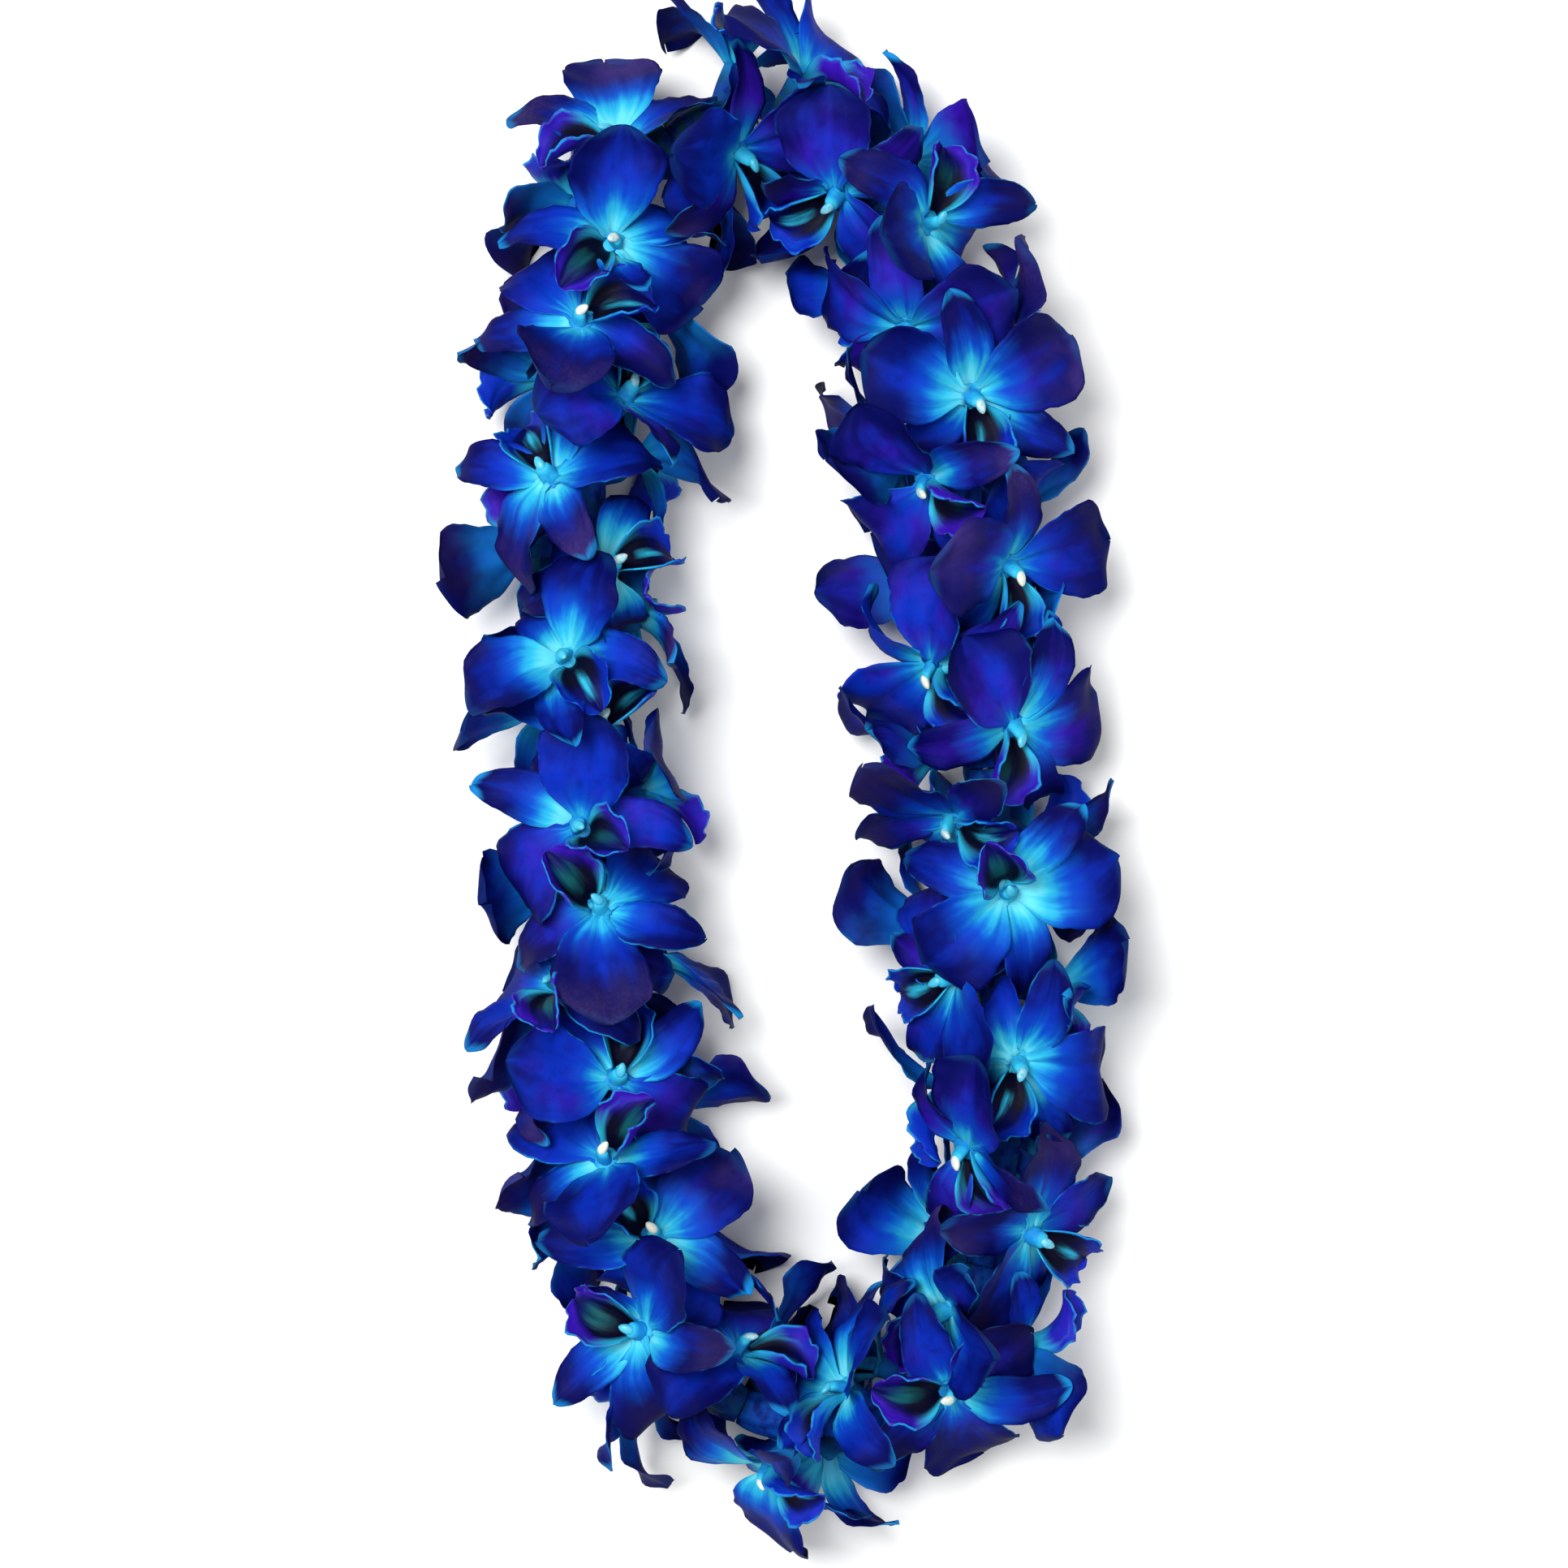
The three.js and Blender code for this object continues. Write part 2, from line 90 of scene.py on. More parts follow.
# A blade's base and its widest place are shares of its half width and length, and angles are degrees
PETAL = dict(
    length=34, half=14.3, base=0.15, widest=0.62, fall=2.0, rise=20, bend=58, cup=0.16, spread=1.0
)
SEPAL = dict(
    length=33, half=7.2, base=0.3, widest=0.42, fall=1.7, rise=4, bend=50, cup=0.12, spread=1.0
)
LIP = dict(
    length=22, half=8, base=0.3, widest=0.5, fall=1.7, rise=46, bend=78, cup=0.95, spread=0.6
)
GROW = 1.2
CUP_POWER = 1.5
BLADES = ((PETAL, 22), (SEPAL, 90), (PETAL, 158), (SEPAL, 222), (LIP, 270), (SEPAL, 318))

# How the CAD model's blades found their places
SPREAD = dict(rise=26, bend=26, swing=16, twist=24)
FIRST_SPREAD = 1.2
LAST_SPREAD = 2
LENGTH_VARY = 0.07
TRIES = 170
CALM_TRIES = 100
LAST_LENGTH = 0.5
LAST_WIDTH = 0.6
MATCH = 0.02  # how near a CAD corner lies to its formula

# The seed and the keys of random draws, first the CAD model's and then those of the finer pieces
SEED = 0.6
BLOOM_KEYS = dict(azimuth=1, share=2, lean=3, upended=4, turn=5)
BLADE_KEYS = dict(rise=1, bend=2, swing=3, twist=4, length=9)

BLOOM_TINT, BLOOM_DUSK, COLUMN_TINT, SPUR_TINT = 31, 32, 33, 34
BLADE_SEED, BLADE_DUSK, LIP_SEED, LIP_DUSK = 71, 72, 73, 74
TIP_CURL, LEFT_ROLL, RIGHT_ROLL, OWN_CUP = 75, 76, 77, 78
PACK_SWIRL, PACK_TINT = 81, 82


def chance(a, b=0, c=0, d=0):
    """A repeatable random number from 0 to 1."""
    x = math.sin(a * 12.9898 + b * 78.233 + c * 37.719 + d * 4.1414 + SEED) * 43758.5453
    return x - math.floor(x)


def sway(a, b=0, c=0, d=0):
    """One from -1 to 1."""
    return 2 * chance(a, b, c, d) - 1


def unit(vector):
    return vector / np.linalg.norm(vector)


def smooth(low, high, x):
    """0 at low, 1 at high, smooth between them; low may be the larger."""
    share = np.clip((x - low) / (high - low), 0, 1)
    return share * share * (3 - 2 * share)


# The loop
def loop_point(angle):
    """A place on the string: a squarish oval, wider at one end and leaning."""
    c, s = math.cos(angle), math.sin(angle)
    across = abs(c / HALF_WIDTH) ** SQUARENESS
    along = abs(s / HALF_LENGTH) ** SQUARENESS
    reach = (across + along) ** (-1 / SQUARENESS)
    y = reach * s
    x = reach * c * (1 - EGG * y / HALF_LENGTH) + LEAN * y
    return np.array((x, y, STRING_HEIGHT))


loop_angles = [math.pi / 2 - FULL_TURN * i / LOOP_SAMPLES for i in range(LOOP_SAMPLES + 1)]
loop_points = [loop_point(angle) for angle in loop_angles]
loop_steps = [np.linalg.norm(b - a) for a, b in zip(loop_points, loop_points[1:])]
loop_lengths = np.concatenate(([0.0], np.cumsum(loop_steps)))
LOOP = float(loop_lengths[-1])
PITCH = LOOP / RINGS


def on_loop(length):
    """The place on the string at a length, the direction along it, and the one out of the loop."""
    angle = float(np.interp(length % LOOP, loop_lengths, loop_angles))
    along = unit(loop_point(angle - NUDGE) - loop_point(angle + NUDGE))
    return loop_point(angle), along, np.cross(UP, along)


def radial(out, degrees):
    """A direction square to the string: 0 is up, and +90 is out of the loop."""
    a = math.radians(degrees)
    return UP * math.cos(a) + out * math.sin(a)


def find_shift():
    """The CAD model was moved to stand over the origin. Its string tells how far."""
    corners = []
    for i in range(2 * RINGS):
        point, _, out = on_loop(PITCH * i / 2)
        for side in range(STRING_SIDES):
            a = SECTION_TURN + FULL_TURN * side / STRING_SIDES
            corners.append(point + STRING_RADIUS * (out * math.cos(a) + UP * math.sin(a)))
    corners = np.array(corners)
    low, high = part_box("string")
    x = (low[0] + high[0]) / 2 / MM - (corners[:, 0].min() + corners[:, 0].max()) / 2
    y = low[1] / MM - corners[:, 1].min()
    return np.array((x, y, 0.0))


SHIFT = find_shift()


# Where the blooms sit and what shape their blades have
def bloom_frame(n):
    """The middle of bloom n, its three directions, and the end of its neck by the string."""
    ring = n // 2
    seat = HIGH if n % 2 == 0 else LOW
    side = 1 if (ring + n) % 2 == 0 else -1
    azimuth = side * (seat["azimuth"] + seat["vary"] * sway(n, BLOOM_KEYS["azimuth"]))
    lean = math.radians(LEAN_MIDDLE + LEAN_VARY * sway(n, BLOOM_KEYS["lean"]))
    share = seat["share"] + SHARE_VARY * sway(n, BLOOM_KEYS["share"])
    foot, along, out = on_loop(PITCH * (ring + share) - FOOT_BACK * HUB_HEIGHT * math.tan(lean))
    outward = radial(out, azimuth)
    face = unit(outward * math.cos(lean) + along * math.sin(lean))
    base = foot + outward * NECK_HEIGHT
    centre = base + face * ((HUB_HEIGHT - NECK_HEIGHT) / math.cos(lean))
    upended = 180 if chance(n, BLOOM_KEYS["upended"]) < UPENDED else 0
    turn = math.radians(upended + TURN_VARY * sway(n, BLOOM_KEYS["turn"]))
    back = unit(face * along.dot(face) - along)
    up = back * math.cos(turn) + np.cross(face, back) * math.sin(turn)
    return dict(number=n, centre=centre, face=face, up=up, right=np.cross(up, face), base=base)


def blade_shape(n, index, attempt):
    """The shape that blade number index of bloom n had at one attempt to place it."""
    kind = BLADES[index][0]
    wild = kind["spread"] * (FIRST_SPREAD + (LAST_SPREAD - FIRST_SPREAD) * attempt / TRIES)
    late = max(0, attempt - CALM_TRIES) / (TRIES - CALM_TRIES)
    shorter = LENGTH_VARY * chance(n, index + 1, attempt, BLADE_KEYS["length"])
    shorter += (1 - LAST_LENGTH) * late

    def drawn(trait):
        return SPREAD[trait] * (wild * sway(n, index + 1, attempt, BLADE_KEYS[trait]))

    return dict(
        length=kind["length"] * (1 - shorter),
        half=kind["half"] * (1 - (1 - LAST_WIDTH) * late),
        rise=math.radians(kind["rise"] + drawn("rise")),
        bend=math.radians(kind["bend"] + drawn("bend")),
        swing=math.radians(drawn("swing")),
        twist=math.radians(drawn("twist")),
    )


def profile(kind, t):
    """Width of a blade along it, as a share of its half width."""
    grow = np.sin(math.pi / 2 * np.clip(t / kind["widest"], 0, 1)) ** GROW
    past = np.clip((t - kind["widest"]) / (1 - kind["widest"]), 0, 1)
    narrow = np.sqrt(np.maximum(0, 1 - past ** kind["fall"]))
    return np.where(t <= kind["widest"], kind["base"] + (1 - kind["base"]) * grow, narrow)


def blade_surface(bloom, index, shape, t, v, width=None):
    """A blade's middle line, side directions, normals and half widths, for t along and v across it."""
    t, v = np.broadcast_arrays(np.asarray(t, float), np.asarray(v, float))
    kind, start = BLADES[index]
    a = shape["rise"] - shape["bend"] * t
    bend = shape["bend"]
    reach = HUB_RADIUS + shape["length"] * (math.sin(shape["rise"]) - np.sin(a)) / bend
    height = shape["length"] * (np.cos(a) - math.cos(shape["rise"])) / bend
    heading = math.radians(start) + shape["swing"] * t
    right, up, face = bloom["right"], bloom["up"], bloom["face"]
    out = np.cos(heading)[..., None] * right + np.sin(heading)[..., None] * up
    side = np.cross(face, out)
    normal = np.cos(a)[..., None] * face - np.sin(a)[..., None] * out
    turn = (shape["twist"] * t)[..., None]
    across = np.cos(turn) * side + np.sin(turn) * normal
    normal = np.cos(turn) * normal - np.sin(turn) * side
    if width is None:
        width = shape["half"] * profile(kind, t)
    middle = bloom["centre"] + reach[..., None] * out + height[..., None] * face
    return middle, across, normal, width


def cad_pair(bloom, index, shape, t, v):
    """The two corners that the CAD blade has at t and v."""
    middle, across, normal, width = blade_surface(bloom, index, shape, t, v)
    cup = BLADES[index][0]["cup"] * width * abs(v) ** CUP_POWER
    point = middle + across * (width * v) + normal * cup
    top = point + normal * CAD_THICK / 2
    bottom = point - normal * CAD_THICK / 2
    lift = max(0.0, -min(top[2], bottom[2]))
    return top + UP * lift, bottom + UP * lift


def corner_tree(node):
    """The corners of a CAD node, in millimetres in the lei's own frame, ready for searching."""
    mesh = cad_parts[node].data
    tree = KDTree(len(mesh.vertices))
    for i, vertex in enumerate(mesh.vertices):
        tree.insert(Vector(np.array(vertex.co) / MM - SHIFT), i)
    tree.balance()
    return tree


def find_shape(bloom, index, tree):
    """The shape whose tip is on the CAD bloom, or None where the CAD bloom has lost that blade."""
    for attempt in range(TRIES):
        shape = blade_shape(bloom["number"], index, attempt)
        tips = cad_pair(bloom, index, shape, 1.0, 0.0)
        if all(tree.find(Vector(tip))[2] < MATCH for tip in tips):
            return shape
    return None


# Meshes under construction
VALUES = ("along", "across", "tint", "dusk", "front")


class Piece:
    """Points, faces, material slots and named values of one mesh."""

    def __init__(self):
        self.points = []
        self.faces = []
        self.slots = []
        self.values = {name: [] for name in VALUES}
        self.count = 0

    def add(self, points, values):
        """Adds a grid of points and returns their numbers in the same grid."""
        shape = points.shape[:-1]
        total = int(np.prod(shape))
        self.points.append(points.reshape(-1, 3))
        for name in VALUES:
            value = np.broadcast_to(np.asarray(values.get(name, 0.0), float), shape)
            self.values[name].append(value.reshape(-1))
        numbers = np.arange(self.count, self.count + total).reshape(shape)
        self.count += total
        return numbers

    def quads(self, a, b, c, d, slot):
        """Faces from four equal grids of point numbers."""
        quads = np.stack([x.reshape(-1) for x in (a, b, c, d)], axis=1)
        self.faces.extend(quads.tolist())
        self.slots.extend([slot] * len(quads))

    def grid(self, n, slot, flip=False):
        """Faces between the rows and columns of one grid."""
        corners = [n[:-1, :-1], n[1:, :-1], n[1:, 1:], n[:-1, 1:]]
        if flip:
            corners.reverse()
        self.quads(*corners, slot)

    def blade(self, top, bottom, values, slot):
        """A closed thin sheet from its front and back grids."""
        front = self.add(top, {**values, "front": 1.0})
        back = self.add(bottom, {**values, "front": 0.0})
        self.grid(front, slot)
        self.grid(back, slot, flip=True)
        edges = [
            (front[:, 0], back[:, 0]),
            (front[-1, :], back[-1, :]),
            (front[::-1, -1], back[::-1, -1]),
            (front[0, ::-1], back[0, ::-1]),
        ]
        for upper, lower in edges:
            self.quads(upper[:-1], lower[:-1], lower[1:], upper[1:], slot)

    def tube(self, rings, values, slot, closed=True):
        """A round body from rings of points, in order along it, with or without its two ends."""
        n = self.add(rings, values)
        after = np.roll(n, -1, axis=1)
        self.quads(n[:-1], after[:-1], after[1:], n[1:], slot)
        if closed:
            self.faces.extend([n[0, ::-1].tolist(), n[-1].tolist()])
            self.slots.extend([slot] * 2)
        return n

    def mesh(self, name, materials):
        points = (np.concatenate(self.points) + SHIFT) * MM
        mesh = bpy.data.meshes.new(name)
        mesh.from_pydata(points.tolist(), [], self.faces)
        for value in VALUES:
            layer = mesh.attributes.new(value, "FLOAT", "POINT")
            layer.data.foreach_set("value", np.concatenate(self.values[value]).astype(np.float32))
        for material in materials:
            mesh.materials.append(material)
        mesh.polygons.foreach_set("material_index", self.slots)
        mesh.polygons.foreach_set("use_smooth", [True] * len(self.slots))
        mesh.update()
        return mesh

    def object(self, name, materials):
        ob = bpy.data.objects.new(name, self.mesh(name, materials))
        bpy.context.scene.collection.objects.link(ob)
        return ob


def lie_on_table(points):
    """What would go through the table lies on it."""
    points[..., 2] = np.maximum(points[..., 2], 0.0)
    return points


# The finer petals and sepals, whose widths are shares of the CAD blade's
FINE_PETAL = dict(tip_less=0.28, wider=1.05, base_more=0.35, base_lift=0.5, rows=25, columns=17)
FINE_SEPAL = dict(tip_less=0.1, wider=1.1, base_more=0.25, base_lift=-0.35, rows=21, columns=9)
LEAST_WIDTH = 0.035  # what is left of the width at a tip
ROOT = -0.07  # a fine blade starts inside its hub
ROW_CROWDING = 1.7  # how much the rows of points crowd towards a tip
MARGIN_CROWDING = 0.35  # how much the columns crowd towards the margins
LONG_WAVE = dict(height=1.1, turns=1.6, apart=1.9)
SHORT_WAVE = dict(height=0.45, turns=4.4, apart=2.6)
LONG_SCALLOP = dict(height=0.03, turns=2.1, apart=1)
SHORT_SCALLOP = dict(height=0.014, turns=7.3, apart=2)
GULLY_DEPTH = 0.8
GULLY_WIDTH = 0.14
FOLD_DEPTH = 0.32
CRUMPLE_DEPTH = 1.1
ROLL_TIP = 0.16  # how far a tip may curl back, as a share of its blade's length
ROLL_FORWARD = 0.35  # how far it may curl forward instead, as a share of that
ROLL_EDGE = 0.2  # how far a margin may roll, as a share of its blade's half width
LEAST_CUP = 0.4
CUP_VARY = 1.1
MARGIN_THICK = 0.16
MIDDLE_THICKER = 0.34
ROOT_THICKER = 0.5


def toward_tip(rows):
    """Places along a blade, closer together near its tip, where its outline turns."""
    return (ROOT + (1 - ROOT) * (1 - (1 - np.linspace(0, 1, rows)) ** ROW_CROWDING))[:, None]


def near_base(t):
    """1 where the blades of a bloom overlap round its hub, and 0 further out."""
    return smooth(0.45, 0.08, t)


def ripple(wave, t, v, start):
    """Waves along a blade. Their value apart sets those of its two sides out of step."""
    phase = FULL_TURN * (wave["turns"] * t + start) + wave["apart"] * np.sign(v)
    return wave["height"] * np.sin(phase)


def petal_relief(shape, t, v, seed):
    """How far a petal or sepal stands off its smooth form, with a gully, folds and waved margins."""
    margin = np.abs(v) ** 3 * smooth(0.1, 0.5, t)
    waves = ripple(LONG_WAVE, t, v, seed) + ripple(SHORT_WAVE, t, v, 2.3 * seed)
    gully = -GULLY_DEPTH * np.exp(-((v / GULLY_WIDTH) ** 2)) * smooth(1.0, 0.3, t)
    folds = FOLD_DEPTH * np.cos(v * 9 + 6 * seed) * smooth(0.0, 0.2, t) * smooth(0.95, 0.5, t)
    crumple = np.sin(FULL_TURN * (1.15 * t + seed)) * np.sin(2.6 * v + 9 * seed)
    crumple = CRUMPLE_DEPTH * crumple * smooth(0.15, 0.55, t)
    size = math.sqrt(shape["half"] / PETAL["half"])
    return (waves * margin + gully + folds + crumple) * size


def curl(bloom, index, shape, t, v):
    """How far a blade's tip and its two margins turn back or forward, each blade in its own way."""
    share = ROLL_FORWARD - (1 + ROLL_FORWARD) * chance(bloom["number"], index, TIP_CURL)
    tip = ROLL_TIP * share * smooth(0.6, 1.0, t) ** 1.5
    flanks = [ROLL_EDGE * sway(bloom["number"], index, key) for key in (LEFT_ROLL, RIGHT_ROLL)]
    margin = np.where(v < 0, *flanks) * np.abs(v) ** 4 * smooth(0.25, 0.7, t)
    return tip * shape["length"] + margin * shape["half"]


def petal_width(kind, fine, shape, t, v, seed):
    """Half widths of a petal or sepal, with an uneven outline and a fuller base."""
    width = shape["half"] * np.maximum(profile(kind, t), LEAST_WIDTH)
    width = width * (1 - fine["tip_less"] * smooth(0.74, 0.98, t))
    scallops = ripple(LONG_SCALLOP, t, v, seed) + ripple(SHORT_SCALLOP, t, v, 3 * seed)
    width = width * (1 + scallops * smooth(0.2, 0.5, t))
    return width * fine["wider"] * (1 + fine["base_more"] * near_base(t))


def add_petal(piece, bloom, index, shape, slot):
    """A petal or a sepal."""
    number = bloom["number"]
    kind = BLADES[index][0]
    fine = FINE_PETAL if kind is PETAL else FINE_SEPAL
    seed = chance(number, index, BLADE_SEED)
    t = toward_tip(fine["rows"])
    v = np.linspace(-1.0, 1.0, fine["columns"])[None, :]
    v = np.sin(v * math.pi / 2) * MARGIN_CROWDING + v * (1 - MARGIN_CROWDING)
    width = petal_width(kind, fine, shape, t, v, seed)
    middle, across, normal, width = blade_surface(bloom, index, shape, t, v, width)
    middle = middle + normal * fine["base_lift"] * near_base(t)[..., None]
    own_cup = kind["cup"] * (LEAST_CUP + CUP_VARY * chance(number, index, OWN_CUP))
    cup = own_cup * width * np.abs(v) ** CUP_POWER
    t, v = np.broadcast_arrays(t, v)
    relief = petal_relief(shape, t, v, seed) + curl(bloom, index, shape, t, v)
    point = middle + across * (width * v)[..., None] + normal * (cup + relief)[..., None]
    thick = MARGIN_THICK + MIDDLE_THICKER * (1 - v**4) * (1 - 0.5 * t)
    thick = thick + ROOT_THICKER * smooth(0.15, 0.0, t)
    top = lie_on_table(point + normal * thick[..., None] / 2)
    bottom = lie_on_table(point - normal * thick[..., None] / 2)
    values = dict(
        along=t,
        across=v,
        tint=0.55 * chance(number, BLOOM_TINT) + 0.45 * seed,
        dusk=0.5 * chance(number, BLOOM_DUSK) + 0.5 * chance(number, index, BLADE_DUSK),
    )
    piece.blade(top, bottom, values, slot)


# The finer lip
LIP_ROWS = 25
LIP_COLUMNS = 21
LIP_LEAST = 0.05  # its width at the tip, as a share of its widest
LIP_WRAP = 1.52  # radians that each half of it is folded up by
LIP_UNWRAP = 0.35  # how much less that is at its tip
LIP_THICK = 0.5
FRILL = dict(height=0.8, turns=4.2, apart=2)
FINE_FRILL = dict(height=0.3, turns=9.1, apart=1)
FRILL_REACH = dict(height=0.12, turns=3.3, apart=0)  # sideways, as a share of the width
KEEL_PLACES = (-0.16, 0.0, 0.16)
KEEL_WIDTH = 0.055
KEEL_HEIGHT = 0.5
LIP_FOLD_DEPTH = 0.3


def add_lip(piece, bloom, index, shape, slot):
    """The folded lip: a trough round the column, with keels, that opens into a frilled lobe."""
    number = bloom["number"]
    seed = chance(number, index, LIP_SEED)
    t = toward_tip(LIP_ROWS)
    v = np.linspace(-1.0, 1.0, LIP_COLUMNS)[None, :]
    width = shape["half"] * np.maximum(profile(LIP, t), LIP_LEAST)
    middle, across, normal, width = blade_surface(bloom, index, shape, t, v, width)
    t, v = np.broadcast_arrays(t, v)
    wrap = LIP_WRAP - LIP_UNWRAP * smooth(0.6, 1.0, t)
    frill = np.abs(v) ** 2.5 * smooth(0.3, 0.6, t)
    waves = ripple(FRILL, t, v, seed) + ripple(FINE_FRILL, t, v, 2 * seed)
    keels = sum(np.exp(-(((v - place) / KEEL_WIDTH) ** 2)) for place in KEEL_PLACES)
    keels = KEEL_HEIGHT * keels * smooth(0.05, 0.2, t) * smooth(0.85, 0.6, t)
    folds = LIP_FOLD_DEPTH * np.cos(v * 13 + 5 * seed + 3 * t) * smooth(0.15, 0.45, t)
    raised = width * (1 - np.cos(wrap * v)) + waves * frill + keels + folds * (1 - np.abs(v))
    sideways = width * np.sin(wrap * v) * (1 + ripple(FRILL_REACH, t, v, seed) * frill)
    point = middle + across * sideways[..., None] + normal * raised[..., None]
    inward = normal * np.cos(wrap * v)[..., None] - across * np.sin(wrap * v)[..., None]
    top = lie_on_table(point + inward * LIP_THICK / 2)
    bottom = lie_on_table(point - inward * LIP_THICK / 2)
    values = dict(along=t, across=v, tint=seed, dusk=chance(number, index, LIP_DUSK))
    piece.blade(top, bottom, values, slot)


# The hub, the column and the spur
HUB_RINGS = ((-0.8, 3.6), (-0.5, 3.9), (0.0, 3.9), (0.35, 3.6), (0.6, 2.8), (0.75, 1.4))  # height, radius
HUB_SIDES = 18
COLUMN_RINGS = 9
COLUMN_SIDES = 14
COLUMN_FOOT = 3.0
COLUMN_TAPER = 0.9
COLUMN_SWELL = 0.25
COLUMN_SQUASH = 0.86
COLUMN_HOLLOW = 0.35
HEAD_START = 0.82  # how far along the column its rounded head begins
HEAD_LENGTH = 0.2
HEAD_BLUNT = 0.12
SPUR_RINGS = 10
SPUR_SIDES = 16
SPUR_SINK = 0.7  # how far below the hub's middle the spur ends
SPUR_FLARE = 1.4
SPUR_SWELL = 0.35
SPUR_CHIN = 0.7
SPUR_RIDGES = 3
RIDGE_HEIGHT = 0.07


def disc(bloom, middle, radius, sides, squash=1.0):
    """A ring of points round a middle, square to the bloom's face direction."""
    a = FULL_TURN * np.arange(sides) / sides
    wide = np.cos(a)[:, None] * bloom["right"] * radius
    return middle + wide + np.sin(a)[:, None] * bloom["up"] * radius * squash


def add_hub(piece, bloom, slot):
    """The low dome that the blades grow from."""
    rings = [
        disc(bloom, bloom["centre"] + bloom["face"] * height, radius, HUB_SIDES)
        for height, radius in HUB_RINGS
    ]
    piece.tube(np.array(rings), dict(along=0.0, tint=chance(bloom["number"], BLOOM_TINT)), slot)


def head_of(bloom):
    """The end of the column."""
    return bloom["centre"] + bloom["face"] * COLUMN_HEIGHT - bloom["up"] * COLUMN_FORWARD


def add_column(piece, bloom, slot):
    """The column: a short hooded stump that leans over the lip, flatter on its inner side."""
    head = head_of(bloom)
    rings = []
    along = np.linspace(0, 1, COLUMN_RINGS)
    for share in along:
        middle = bloom["centre"] + (head - bloom["centre"]) * share
        radius = COLUMN_FOOT - COLUMN_TAPER * share + COLUMN_SWELL * math.sin(math.pi * share)
        into_head = max(0.0, (share - HEAD_START) / HEAD_LENGTH)
        radius *= math.sqrt(max(HEAD_BLUNT, 1 - into_head**2))
        ring = disc(bloom, middle, radius, COLUMN_SIDES, COLUMN_SQUASH)
        hollow = np.maximum(0, -(ring - middle) @ bloom["up"]) * COLUMN_HOLLOW
        rings.append(ring + hollow[:, None] * bloom["up"])
    values = dict(along=along[:, None], tint=chance(bloom["number"], COLUMN_TINT))
    piece.tube(np.array(rings), values, slot)


def add_spur(piece, bloom, slot):
    """The neck behind the blades, with three ridges and the spur's blunt chin on its lower side."""
    rings = []
    along = np.linspace(0, 1, SPUR_RINGS)
    ridges = 1 + RIDGE_HEIGHT * np.cos(SPUR_RIDGES * FULL_TURN * np.arange(SPUR_SIDES) / SPUR_SIDES)
    top = bloom["centre"] - bloom["face"] * SPUR_SINK
    for share in along:
        belly = math.sin(math.pi * share)
        radius = NECK_RADIUS + (HUB_RADIUS - NECK_RADIUS) * share**SPUR_FLARE + SPUR_SWELL * belly
        middle = bloom["base"] + (top - bloom["base"]) * share - bloom["up"] * SPUR_CHIN * belly
        spokes = disc(bloom, middle, radius, SPUR_SIDES) - middle
        rings.append(middle + spokes * ridges[:, None])
    values = dict(along=1 - along[:, None], tint=chance(bloom["number"], SPUR_TINT))
    piece.tube(np.array(rings), values, slot)


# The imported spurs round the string
PACK_STEPS = 12
PACK_SIDES = 42
PACK_LOBES = 7
PACK_TWIST = 0.7
PACK_FURROW = 0.84  # the radius between two lobes, as a share of the tube's
PACK_CREST = 0.14  # how much more that is on a lobe
PACK_FULLNESS = 0.8  # below 1, the tube and its lobes are blunter than a wave
LOBE_FULLNESS = 0.6


def add_pack(piece, ring_number, slot):
    """Spurs and stalk ends pressed together round the string: a ribbed tube with a bore."""
    knot_side = KNOT_HALF + PACK_GAP
    start = PITCH * ring_number + (knot_side if ring_number == 0 else PACK_GAP / 2)
    end = PITCH * (ring_number + 1) - (knot_side if ring_number == RINGS - 1 else PACK_GAP / 2)
    a = FULL_TURN * np.arange(PACK_SIDES) / PACK_SIDES
    outer, inner = [], []
    for step in range(PACK_STEPS + 1):
        share = step / PACK_STEPS
        point, _, out = on_loop(start + (end - start) * share)
        swirl = a + PACK_TWIST * share + FULL_TURN * chance(ring_number, PACK_SWIRL)
        lobe = 0.5 + 0.5 * np.cos(PACK_LOBES * swirl)
        body = PACK_ENDS + (PACK_MIDDLE - PACK_ENDS) * math.sin(math.pi * share) ** PACK_FULLNESS
        radius = body * (PACK_FURROW + PACK_CREST * lobe**LOBE_FULLNESS)
        spokes = np.cos(a)[:, None] * out + np.sin(a)[:, None] * UP
        outer.append(point + radius[:, None] * spokes)
        inner.append(point + BORE_RADIUS * spokes)
    values = dict(along=0.8, tint=chance(ring_number, PACK_TINT))
    skin = piece.tube(np.array(outer), values, slot, closed=False)
    bore = piece.add(np.array(inner), values)
    after = np.roll(bore, -1, axis=1)
    piece.quads(bore[1:], after[1:], after[:-1], bore[:-1], slot)
    for rim, hole, flip in ((skin[0], bore[0], True), (skin[-1], bore[-1], False)):
        corners = [rim, np.roll(rim, -1), np.roll(hole, -1), hole]
        if flip:
            corners.reverse()
        piece.quads(*corners, slot)


# Shader maths
class Signal:
    """A number or colour in a node tree, with plain arithmetic."""

    def __init__(self, graph, socket):
        self.graph = graph
        self.socket = socket

    def __add__(self, other):
        return self.graph.math("ADD", self, other)

    def __sub__(self, other):
        return self.graph.math("SUBTRACT", self, other)

    def __rsub__(self, other):
        return self.graph.math("SUBTRACT", other, self)

    def __mul__(self, other):
        return self.graph.math("MULTIPLY", self, other)

    def __abs__(self):
        return self.graph.math("ABSOLUTE", self)

    __radd__ = __add__
    __rmul__ = __mul__


